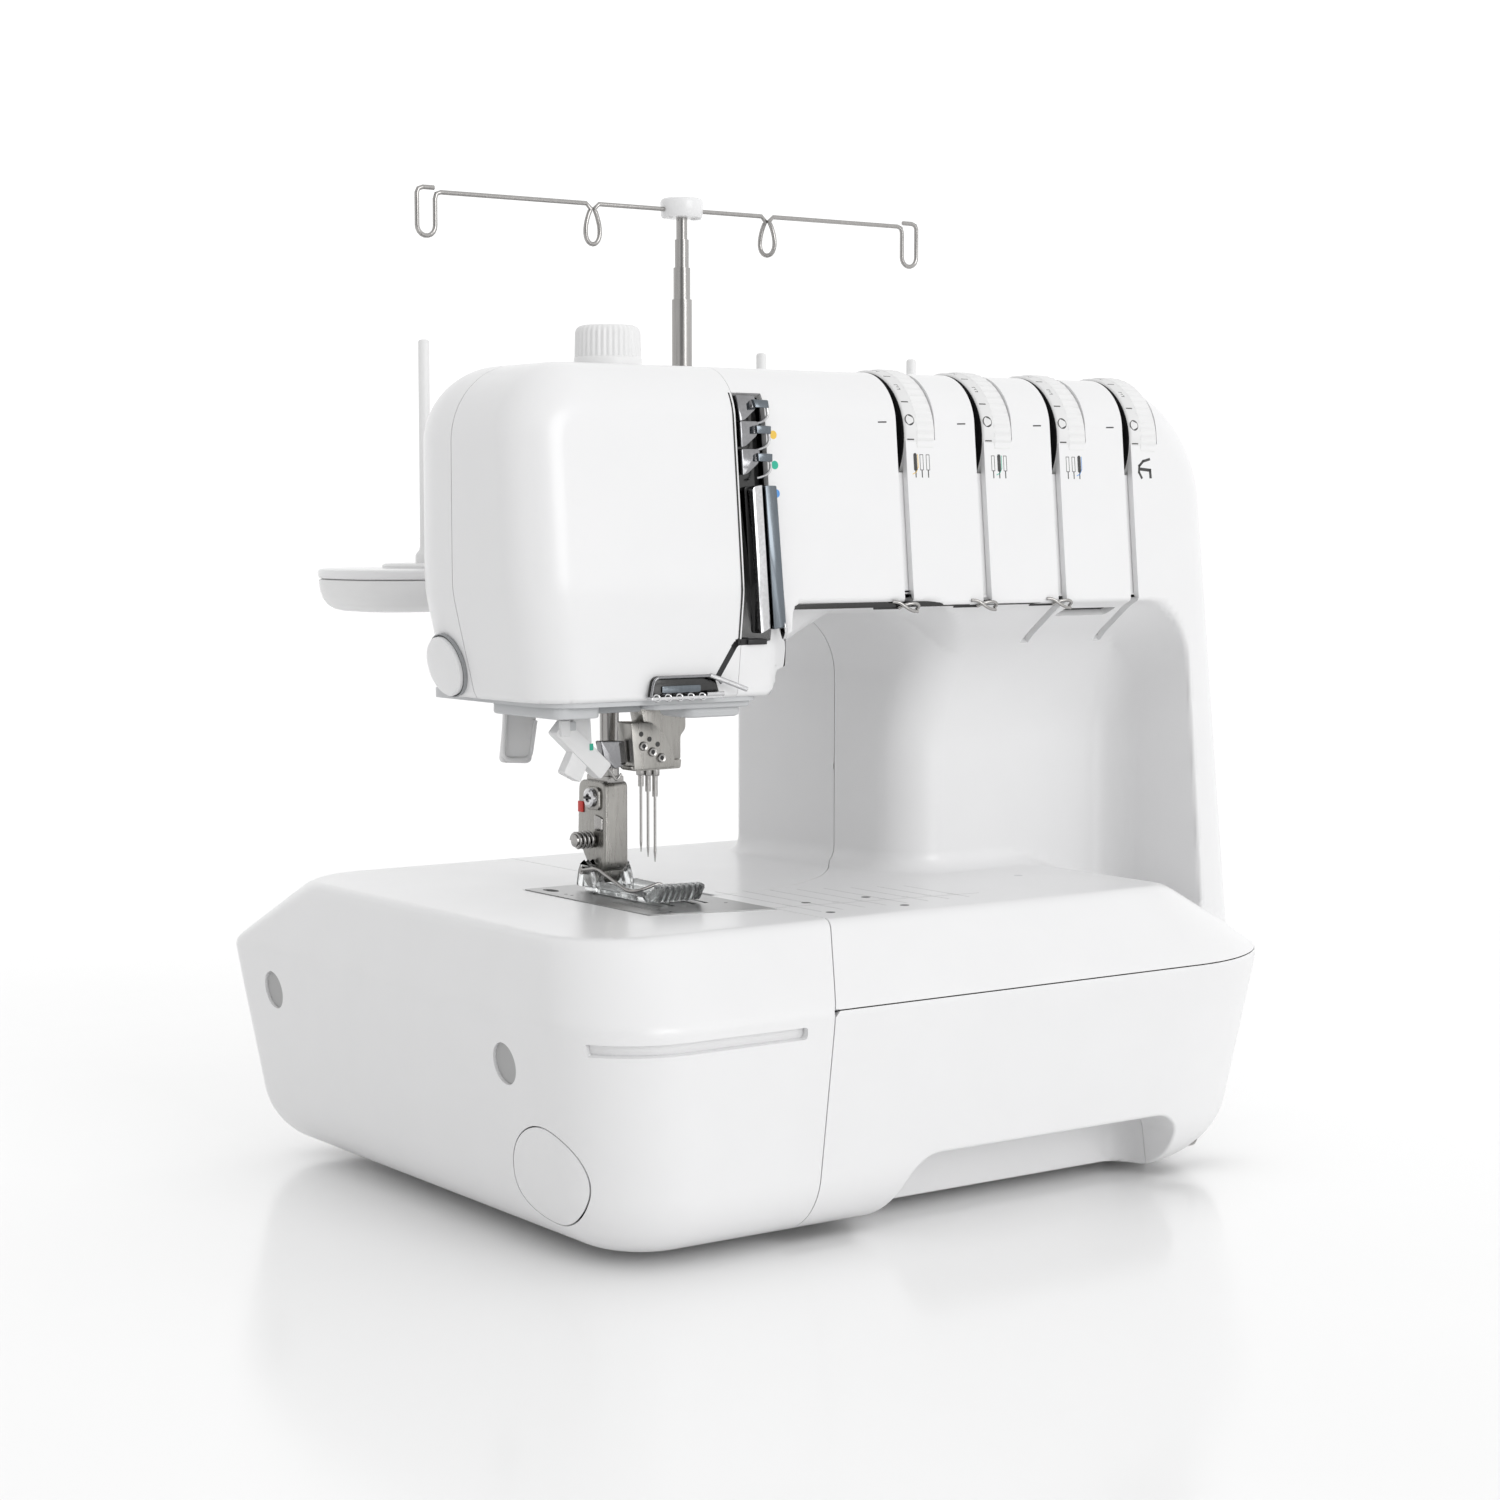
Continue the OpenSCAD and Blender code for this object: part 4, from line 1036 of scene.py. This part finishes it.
# ---- marks on the front panel, and the rail along its lower edge ----
def make_panel_marks():
    marks = Piece("panel_marks")
    for x0 in DIAL_X:
        marks.stroke([(x0 - 12.0, 281.4), (x0 - 8.6, 281.5)], 0.5, INK, on_panel)
    for material, z in ((YELLOW, 276.1), (GREEN, 265.6), (BLUE, 255.7)):
        marks.dot(108.6, z, 1.5, material, on_panel)
    for i, x0 in enumerate(DIAL_X[:3]):
        for k in range(3):
            u = x0 + 4 + 2.9 * k
            shaft = [(u - 0.7, 270), (u - 0.7, 264.5), (u + 0.7, 264.5), (u + 0.7, 270), (u - 0.7, 270)]
            marks.stroke(shaft, 0.22, INK, on_panel)
            marks.stroke([(u, 264.4), (u, 262)], 0.45, INK, on_panel)
            if k == i:
                marks.stroke([(u, 270), (u, 264.8)], 1.1, INK, on_panel)
                thread = [(u + 1.2, 270), (u + 1.2, 265.5), (u + 0.1, 263.6), (u - 1.4, 263)]
                marks.stroke(thread, 0.28, (YELLOW, GREEN, BLUE)[i], on_panel)
    x0 = DIAL_X[3] + 3
    hook = [(x0 + 6.2, 269.6), (x0 + 3, 268.8), (x0 + 0.9, 267), (x0 + 0.6, 264.6), (x0 + 1.8, 262.6)]
    marks.stroke(hook, 1.0, INK, on_panel)
    marks.stroke([(x0 + 1.6, 265.8), (x0 + 6.4, 265.4), (x0 + 6.5, 262.9)], 1.2, INK, on_panel)
    marks.done("machine", "dark_plastic")


def make_rail():
    """The dark rail along the panel's lower edge, with its twisted wire guides."""
    rail = Piece("panel_rail")
    outline = [(110, 215.2, 0.3), (224, 215.2, 4), (239, 216.6, 0.4), (240, 217.3, 0.3),
               (110, 217.3, 0.3)]
    rail.extrude(outline, "y", 45.9, 50.5, BLACK_CHROME, 0.25)
    for x in (150.5, 187.5, 224):
        rail.box((x, 46.2, 214.5), (x + 11, 47.4, 216), BLACK, 0.2)
    for i in range(3):
        x = DIAL_X[0] - 4 + (DIAL_X[1] - DIAL_X[0]) * i
        twist = [(x - 6, 44.9, 217.2), (x - 3.6, 43.8, 217), (x - 1.2, 43, 215.2), (x + 1.6, 42.8, 213.8),
                 (x + 4.4, 43.4, 213.6)]
        rail.wire(bent_path(twist, 2), 0.6, STEEL_WIRE)
        twist = [(x + 4.8, 44.8, 214.2), (x + 5.6, 43.8, 215.6), (x + 3.4, 43.2, 216.6),
                 (x - 0.4, 43.8, 216.4), (x - 3, 45.4, 214.8)]
        rail.wire(bent_path(twist, 2), 0.6, STEEL_WIRE)
    rail.done("machine", "chrome", "arm_thread_guides")


# ---- lines on the bed, and the needle plate ----
def make_bed_marks():
    marks = Piece("bed_marks")

    def cross(x):
        """The y of the line that runs across the bed."""
        return 41 - 0.13 * (x - 102)

    for k in range(8):
        x = 110 + 9.5 * k
        marks.stroke([(x, 24), (x, 88 - 3.8 * k)], 0.22, FAINT_INK, on_bed, 0.05)
        marks.stroke([(x - 1.6, cross(x) + 3), (x + 1.2, cross(x) + 3)], 0.2, FAINT_INK, on_bed, 0.05)
    marks.stroke([(103, cross(103)), (186, cross(186))], 0.22, FAINT_INK, on_bed, 0.05)
    for x, y in ((119.3, 45.3), (111.7, 20.8), (145.7, 44.8), (143.8, 20.1)):
        marks.dot(x, y, 1.7, INK, on_bed)
    marks.dot(231, 60, 1.7, PALE, on_bed)
    marks.done("machine", "dark_plastic")


def make_needle_plate():
    plate = Piece("needle_plate_steel")
    slots = []
    for x in (70, 75, 84, 89):
        for y0, y1 in ((63.5, 82.5), (90.5, 109.5)):
            slots.append(hole(x - 1.3, y0, x + 1.3, y1, 0.6, 3))
    slots.append(hole(75, 85.4, 85, 88.6, 0.5, 3))
    turns = np.linspace(0, 2 * math.pi, 24, endpoint=False)
    slots.append([(62 + 2.2 * math.cos(a), 124 - 4.4 * math.sin(a)) for a in turns])
    slots.append(rounded([(61.4, 49.6, 1), (61, 53.4, 1.4), (67, 53.8, 1.4), (66.4, 51, 1)], 4))
    outer = rounded([(u, v, 1.2) for u, v in PLATE], 3)
    plate.plate([outer] + slots, "z", BED - 1.2, BED + 0.3, SATIN_STEEL)
    for k in range(14):
        y = 57 + 2.0 * k
        plate.stroke([(62.6, y), (65.2 if k % 5 else 66.6, y)], 0.35, INK, on_plate)
    for x, y in ((61, 112), (61, 108), (95, 60), (95, 118)):
        plate.dot(x, y, 0.7, INK, on_plate)
    plate.done("machine", "steel", "needle_plate")


# ---- underside of the head, its cap and the lifter ----
def make_underplate():
    under = Piece("underplate_moulding")
    bar_hole = circle(PRESSER_X, PRESSER_Y, 8.6, 40)[::-1]
    needle = hole(71, 78.5, 98.5, 96.5, 1)
    threader = hole(45, 81, 59, 96, 1)
    outer = rounded([(19.3, 51.5, 15), (105, 51.5, 9), (105, 137.7, 9), (61, 137.7, 0.6), (61, 118, 1),
                     (42, 118, 1), (42, 137.7, 0.6), (19.3, 137.7, 9)])
    under.plate([outer, bar_hole, needle, threader], "z", 183.6, 187, PALE)
    under.extrude(oblong(22.5, 55, 41, 100, 5), "z", 179.6, 184, PALE, 0.8)
    under.extrude(oblong(60.5, 54, 103, 77.5, 5), "z", 181.4, 184, PALE, 0.8)
    under.extrude(oblong(76, 56, 100, 76, 5), "z", 178, 182, PALE, 1.4)
    under.extrude(oblong(41, 60, 60.5, 79, 3), "z", 180.8, 184, GREY, 0.6)
    under.done("machine", "light_grey_plastic", "head_underplate")


def make_cap():
    cap = Piece("head_cap")
    tilt = math.radians(14)
    across = Vector((-math.cos(tilt), 0, -math.sin(tilt)))
    up = Vector((-math.sin(tilt), 0, math.cos(tilt)))
    middle = Vector((10.9, 109, 196))

    def on_side(u, v, w):
        """Leans the cap with the head's left face."""
        return middle + across * w + up * v + Vector((0, 1, 0)) * u

    profile = [(9.6, 0), (10.6, 0), (10.6, 1.2), (10, 1.9), (8, 2.4), (4, 2.7), (0.5, 2.75)]
    cap.turn(profile, "z", (0, 0, 0), WHITE, 72, bend=on_side)
    cap.turn([(11.4, -1.2), (11.4, 0.05), (11, 0.05), (11, -1.2)], "z", (0, 0, 0), GREY, 72, bend=on_side)
    cap.done("machine", "light_grey_plastic", "head_side_cap")


def make_lifter():
    lifter = Piece("lifter_paddle")
    face = [(45.5, 200, 1), (58.5, 200, 1), (58.3, 174, 6), (56, 158.4, 2.2), (43.4, 159.2, 2.2),
            (45.2, 174, 6)]
    lifter.extrude(face, "y", 127.2, 129.6, WHITE_FINE, 0.5)
    rib = bent_path([(45.4, 126.9, 184), (45.0, 126.9, 174), (43.9, 126.9, 160.6), (55.2, 126.9, 159.9),
                     (57.6, 126.9, 174)], 3)
    lifter.wire(rib, 0.8, WHITE_FINE)
    lifter.turn([(4.9, 44), (4.9, 58), (2.1, 58), (2.1, 44)], "x", (0, 129, 197), PALE_WHITE, 32)
    lifter.done("lever", "light_grey_plastic", "lifter_lever")


# ---- presser foot, its shank and screws ----
def make_shank():
    shank = Piece("shank_casting")
    side = [(107, 152, 2.5), (124.6, 152, 3.5), (125.6, 130, 3), (118, 120.4, 2), (111, 118.4, 2),
            (107, 121, 2)]
    shank.extrude(side, "x", 74.4, 84.6, CAST_STEEL, 0.9, segments=3)
    boss = [(109.2, 150, 2.5), (118.6, 150, 3), (118.6, 141.5, 2), (109.2, 141.5, 2)]
    shank.extrude(boss, "x", 73.2, 75, CAST_STEEL, 0.5)
    pad = [(108, 139, 1), (113, 140, 1), (113, 134, 1), (108, 134, 1)]
    shank.extrude(pad, "x", 73.6, 75, STEEL, 0.4)
    shank.turn([(5.2, 74.6), (5.2, 84.4), (1.6, 84.4), (1.6, 74.6)], "x", (0, 115, 119.5), CAST_STEEL, 36)
    shank.box((73.9, 121.0, 140.0), (74.6, 124.4, 144.0), RED, 0.15)
    shank.extrude(oblong(76, 107, 83, 122, 1), "z", 151.5, 154, STEEL, 0.4)
    shank.done("presser", "steel", "foot_shank")


def make_shank_screws():
    screws = Piece("shank_screw_heads")
    head = [(1.4, 0.9), (1.6, 0.2), (2.6, 0), (3.5, 0.5), (3.6, 1.8), (3.2, 2.2)]
    screws.turn(head, "x", (71.2, 113.6, 146), CHROME, 36)
    # A black bar across the head: painted shade standing for the screw's slot.
    screws.box((71.0, 111.2, 145.6), (71.6, 116, 146.4), BLACK, 0.1)
    coil = []
    for t in np.linspace(0, 1, 60):
        a = 2 * math.pi * 4 * t
        coil.append((66.8 + 7 * t, 115 + 2.7 * math.cos(a), 130.6 + 2.7 * math.sin(a)))
    screws.wire(coil, 0.62, STEEL)
    pin = [(1.2, 66.2), (2.3, 66.4), (2.4, 67), (1.7, 67.3), (1.7, 75)]
    screws.turn(pin, "x", (0, 115, 130.6), STEEL, 28)
    screws.done("presser", "steel", "shank_screws")


def make_clear_foot():
    foot = Piece("clear_foot")
    sole = rounded([(70.6, 74, 1), (88.4, 74, 1), (88.4, 115.5, 2), (70.6, 115.5, 2)])
    gap = hole(75.4, 84.6, 84.8, 90.4, 1)
    slits = [hole(x, 96, x + 1.2, 108, 0.4) for x in (73.5, 78.9, 84.4)]
    foot.plate([sole, gap] + slits, "z", 112.15, 113.9, CLEAR)
    for k in range(8):
        x = 70.8 + 2.36 * k
        fin = [(74.4, 112.2, 0.4), (76.5, 113.6, 1), (66.8, 119.2, 1.2), (63.2, 118.4, 1),
               (66.6, 112.6, 1.5)]
        foot.extrude(fin, "x", x, x + 1.1, CLEAR, 0.2)
    top = [(70.7, 65.5, 0.8), (88.5, 65.5, 0.8), (88.5, 69.8, 1), (70.7, 69.8, 1)]
    foot.extrude(top, "z", 117.6, 119, CLEAR, 0.4)
    toe = [(63.3, 117.4, 0.5), (64.6, 118.8, 0.8), (76.5, 113.8, 0.6), (74.5, 112.2, 0.5),
           (67.4, 112.6, 1.5)]
    for x in (70.6, 87.4):
        foot.extrude(toe, "x", x, x + 1, CLEAR, 0.2)
    for x in (70.7, 74.2, 83.2, 86.7):
        lug = [(108.5, 113.5, 1), (111.5, 121, 3), (115, 123.4, 3), (118.8, 121, 3),
               (120.5, 113.5, 1)]
        foot.extrude(lug, "x", x, x + 1.7, CLEAR, 0.35)
    for x in (70.8, 86.9):
        side = [(76, 113.6, 0.3), (76, 115.6, 0.8), (108, 116.4, 2), (108, 113.6, 0.3)]
        foot.extrude(side, "x", x, x + 1.4, CLEAR, 0.3)
    foot.done("foot", "clear_plastic", "presser_foot")


def make_foot_wire():
    guide = Piece("foot_wire")
    guide.turn([(1.45, 69.2), (1.45, 89.8), (0.6, 90), (0.6, 69)], "x", (0, 115, 119.5), STEEL, 24)
    path = [(69.6, 115, 119.6), (69.4, 104.5, 121.3), (69.4, 84, 115.2), (70.2, 78.6, 115.8),
            (77.8, 76.6, 118.3),
            (79.6, 76.4, 117.2), (78.6, 76.6, 114.8)]
    guide.wire(bent_path(path, 2.2), 0.6, STEEL)
    guide.done("foot", "steel", "foot_wire_guide")


# ---- needle clamp and threader ----
def make_clamp():
    clamp = Piece("clamp_block")
    face = [(70, 175.2, 0.8), (78.9, 175, 0.8), (84.4, 170.4, 1.5), (88.8, 161.4, 0.8),
            (88.9, 158.6, 0.5), (71.6, 158.2, 0.5)]
    clamp.extrude(face, "y", 82.6, 91.8, CAST_STEEL, 0.4)
    back = [(74.5, 184, 0.5), (94.6, 184, 0.5), (94.6, 172, 1.2), (92.4, 169.6, 1), (92.4, 161, 1),
            (80, 161, 0.5)]
    clamp.extrude(back, "y", 84.4, 92.4, CAST_STEEL, 0.4)
    foot = [(70.2, 159.4, 0.5), (92, 161.2, 0.5), (91.6, 158, 0.8), (72, 157.8, 0.8)]
    clamp.extrude(foot, "y", 83.4, 91, CAST_STEEL, 0.4)
    for k in range(3):
        x, z = 76.8 + 3.2 * k, 157.6 - 0.3 * k
        clamp.turn([(1.3, z - 1.6), (1.5, z - 1.2), (1.5, z + 1)], "z", (x, 87, 0), STEEL, 20)
        clamp.dot(74.3 + 3.5 * k, 171 - 1.95 * k, 0.95, INK, lambda u, v, h: (u, 82.6 - h, v), 0.05)
    bracket = [(59.5, 169, 1), (69.6, 168.6, 0.6), (70.6, 160.5, 0.6), (66, 158.6, 1),
               (61, 163, 1)]
    clamp.extrude(bracket, "y", 86, 90, DARK_CHROME, 0.5)
    clamp.done("needle_set", "steel", "needle_clamp")
    screws = Piece("clamp_screws")
    for k in range(3):
        centre = (75 + 3.85 * k, 0, 166.7 - 2.25 * k)
        head = [(0.8, 82.2), (0.85, 81.8), (1.45, 81.6), (1.65, 81.9), (1.65, 83)]
        screws.turn(head, "y", centre, STEEL, 24)
        # A black hexagon at the bottom of the head's socket: painted shade in the hollow.
        screws.turn([(0.2, 82.05), (0.78, 82.06), (0.78, 82.3)], "y", centre, BLACK, 6)
    screws.done("needle_set", "steel", "needle_screws")


def make_threader():
    threader = Piece("threader_cross")
    threader.box((49.8, 86, 166), (54.4, 90, 222), WHITE_FINE, 0.6)

    def bar(a, b, half, low, high):
        a, b = np.array(a), np.array(b)
        along = (b - a) / np.linalg.norm(b - a)
        side = np.array([-along[1], along[0]]) * half
        corners = [a + side, a - side, b - side, b + side]
        outline = rounded([(u, v, 1.1) for u, v in corners], 4)
        threader.extrude(outline, "y", low, high, WHITE_FINE, 0.5)

    bar((41.4, 175.2), (60, 158.2), 3.5, 83.0, 88.6)
    bar((51.5, 167), (46.2, 156.8), 3.9, 83.6, 88.4)
    bar((50.8, 179), (51.5, 168), 3.7, 84.6, 88.4)
    threader.box((40.8, 81.9, 171.6), (44.6, 84, 177.2), WHITE_FINE, 0.5)
    threader.box((42.9, 82.4, 173.5), (47.2, 83.6, 176.6), PALE, 0.3)
    threader.box((53.0, 82.7, 166.2), (54.4, 83.3, 168.6), GREEN, 0.1)
    hook = bent_path([(58, 84.6, 162), (62.5, 84.6, 158.5), (65, 84.6, 154.6), (67.2, 84.6, 157.2)], 1.5)
    threader.wire(hook, 0.45, STEEL)
    threader.done("threader", "white_plastic", "needle_threader")


# ---- pressure knob, handwheel and side dials ----
def make_knob():
    knob = Piece("knob_cap")
    low, high = TOP + 0.4, 316.0
    profile = [(4.6, low - 8), (4.6, low), (12.1, low), (12.3, low + 0.5), (12.3, low + 3.6),
               (12, low + 4.2), (12, low + 4.4),
               (11.8, high - 2.6), (11.4, high - 1.3), (10.4, high - 0.4), (9.2, high), (0.5, high)]
    ribs = (36, 0.55, low + 4.3, high - 1.2)
    knob.turn(profile, "z", (PRESSER_X, PRESSER_Y, 0), WHITE_FINE, 216, ribs, sharp=50)
    knob.done("knob", "white_plastic", "pressure_knob")


def make_handwheel():
    wheel_low, wheel_high = box_mm("handwheel")
    x0, x1 = wheel_low[0], wheel_high[0]
    y, z = (wheel_low[1] + wheel_high[1]) / 2, (wheel_low[2] + wheel_high[2]) / 2
    r = (wheel_high[1] - wheel_low[1]) / 2
    wheel = Piece("handwheel_rim")
    profile = [(8.1, x0), (r - 2.5, x0), (r - 1, x0 + 1.2), (r - 0.8, x0 + 3), (r, x0 + 3.4), (r, x1 - 3),
               (r - 0.8, x1 - 1.8),
               (r - 3.5, x1 - 0.5), (r - 6, x1), (r - 9, x1 - 0.6), (12, x1 - 1.6), (1, x1 - 1.9)]
    wheel.turn(profile, "x", (0, y, z), WHITE_FINE, 280, (40, 1.1, x0 + 3.2, x1 - 2.8), sharp=50)
    wheel.done("wheel", "white_plastic", "handwheel")


def make_side_dials():
    for node, body in (("stitch_dial", "stitch"), ("feed_dial", "feed")):
        low, high = box_mm(node)
        y, z = (low[1] + high[1]) / 2, (low[2] + high[2]) / 2
        x0, x1, r = high[0] - 7.2, high[0], (high[1] - low[1]) / 2
        dial = Piece(f"{body}_wheel")
        profile = [(3.3, low[0] + 0.2), (3.3, x0), (r - 0.6, x0), (r, x0 + 0.6), (r, x1 - 1.6),
                   (r - 0.7, x1 - 0.5), (r - 1.8, x1), (1, x1)]
        dial.turn(profile, "x", (0, y, z), WHITE_FINE, 240, (30, 0.7, x0 + 0.5, x1 - 1.5), sharp=50)
        dial.box((x1 - 0.6, y - 1.2, z + 1.5), (x1 + 0.25, y + 1.2, z + r - 3), PALE, 0.3)
        dial.done(body, "white_plastic", node)


# ---- thread stand ----
MAST_X, TRAY_Y = 190.0, 227.0


def make_thread_stand():
    low, high = box_mm("tray_lid")
    top_low = low[2]
    corner = 30

    def ring(z, inset):
        corners = [(low[0] + inset, low[1] + inset), (high[0] - inset, low[1] + inset),
                   (high[0] - inset, high[1] - inset), (low[0] + inset, high[1] - inset)]
        return [(u, v, z) for u, v in rounded([(u, v, corner - inset) for u, v in corners], 14)]

    tray = Piece("tray_bowl")
    levels = [(211, 12), (211.2, 9), (212, 6), (213.6, 3.6), (216, 1.9), (219, 0.9), (222, 0.5),
              (223.1, 0.5), (223.4, 0.9)]
    tray.rings([ring(z, inset) for z, inset in levels], WHITE_FINE)
    bracket = box_mm("spool_tray")[0][2]
    tray.box((214, 193.4, bracket), (306, 230, 213), WHITE_FINE, 1.5)
    tray.done("machine", "white_plastic", "spool_tray")
    lid = Piece("tray_top")
    levels = [(top_low, 1.4), (top_low + 0.4, 0.5), (top_low + 1, 0.1), (226.4, 0.1), (227.1, 0.5),
              (227.5, 1.4), (227.6, 3)]
    lid.rings([ring(z, inset) for z, inset in levels], WHITE)
    pins = Piece("spool_pin_rods")
    pin_top = box_mm("spool_pins")[1][2]
    seat = [(17, 227.4), (17, 228.6), (16.2, 229.3), (14, 229.5), (6, 229.5)]
    pin = [(4, 229.4), (4, 232.5), (3.4, 233.6), (2.6, 234.4), (2.2, 236), (2.2, pin_top - 1),
           (1.8, pin_top - 0.3), (0.6, pin_top)]
    for i in range(4):
        x = MAST_X + (i - 1.5) * 81
        lid.turn(seat, "z", (x, TRAY_Y, 0), WHITE_FINE, 48)
        pins.turn(pin, "z", (x, TRAY_Y, 0), WHITE_FINE, 24)
    lid.done("machine", "white_plastic", "tray_lid")
    pins.done("machine", "white_plastic", "spool_pins")


def drop_loop(s, drop, turn_z):
    """A tear-shaped loop of wire that hangs from the bar, turned about the vertical by turn_z."""
    loop = []
    for t in np.linspace(0.06, 0.94, 25):
        a = 2 * math.pi * t
        width = 4.4 * math.sin(a) * (0.45 + 0.55 * math.sin(math.pi * t) ** 2)
        along = -s * width
        down = -1.6 - 7.3 * (1 - math.cos(a))
        loop.append((s * drop + along * math.cos(turn_z), along * math.sin(turn_z), down))
    return loop


def end_loop(s, inner, outer, lowest):
    """The long open loop at an end of the bar: down, round and back up over the wire."""
    path = [(s * (inner - 2.5), 0, 0), (s * (inner - 0.6), 0, -0.7), (s * inner, 0, -2.6),
            (s * inner, 0, lowest + 4)]
    for a in np.linspace(0.3, math.pi - 0.3, 8):
        path.append((s * (inner + 4 - 4 * math.cos(a)), 0, lowest + 4 - 4 * math.sin(a)))
    tail = [(outer, lowest + 4), (outer, -0.6), (outer - 0.7, 0.9), (outer - 2.6, 1.6), (inner + 0.5, 1.6)]
    return path + [(s * x, 0, h) for x, h in tail]


def make_thread_bar():
    low, high = box_mm("thread_bar")
    wire_r, hub_half, drop = 0.95, 8.4, 43.5
    outer, z = (high[0] - low[0]) / 2 - wire_r, 373.5
    bar = Piece("thread_bar_wire")
    for s, turn_z in ((-1, 0), (1, math.radians(-60))):
        path = [(s * hub_half, 0, 0), (s * (drop - 3), 0, 0), *drop_loop(s, drop, turn_z),
                (s * (drop + 3), 0, 0)]
        path += end_loop(s, outer - 8, outer, -18 + wire_r)
        bar.wire([(MAST_X + x, TRAY_Y + y, z + h) for x, y, h in path], wire_r, STEEL_WIRE, 10)
    hub = [(3.4, -3), (8.3, -3), (8.6, -2.4), (8.9, 3.2), (8.4, 4.3), (7.4, 4.8), (0.5, 4.8)]
    bar.turn(hub, "z", (MAST_X, TRAY_Y, z), WHITE, 64)
    for s in (-1, 1):
        x = MAST_X + s * 7
        bar.box((x - 1.4, TRAY_Y - 2, z - 3.6), (x + 1.4, TRAY_Y + 2, z - 2.6), WHITE, 0.3)
    bar.done("bar", "steel", "thread_bar")


def dress_cad():
    """CAD nodes that show as they are take a material of their own."""
    looks = {
        STEEL: ["presser_bar", "needle_bar", "mast_tube_1", "mast_tube_2", "mast_tube_3", "mast_tube_4",
                "lower_shaft", "upper_shaft", "motor_pulley", "presser_spring", "hinge_pins",
                "cover_screws", "tension_axle"],
        SATIN_STEEL: ["front_feed_dog", "rear_feed_dog", "looper"],
        STEEL_WIRE: ["needles", "tension_discs"],
        CAST: ["chassis"],
        BRONZE: ["bar_bushes"],
        RUBBER: ["rubber_feet", "timing_belt", "drive_belt"],
        BLACK: ["motor", "power_switch", "power_inlet"],
        PALE: ["free_arm"]}
    for material, names in looks.items():
        for name in names:
            NODES[name].data.materials.clear()
            NODES[name].data.materials.append(material)


make_camera()
make_stage()
make_casing()
make_dials()
make_thread_path()
make_lower_guide()
make_panel_marks()
make_rail()
make_bed_marks()
make_needle_plate()
make_underplate()
make_cap()
make_lifter()
make_shank()
make_shank_screws()
make_clear_foot()
make_foot_wire()
make_clamp()
make_threader()
make_knob()
make_handwheel()
make_side_dials()
make_thread_stand()
make_thread_bar()
dress_cad()
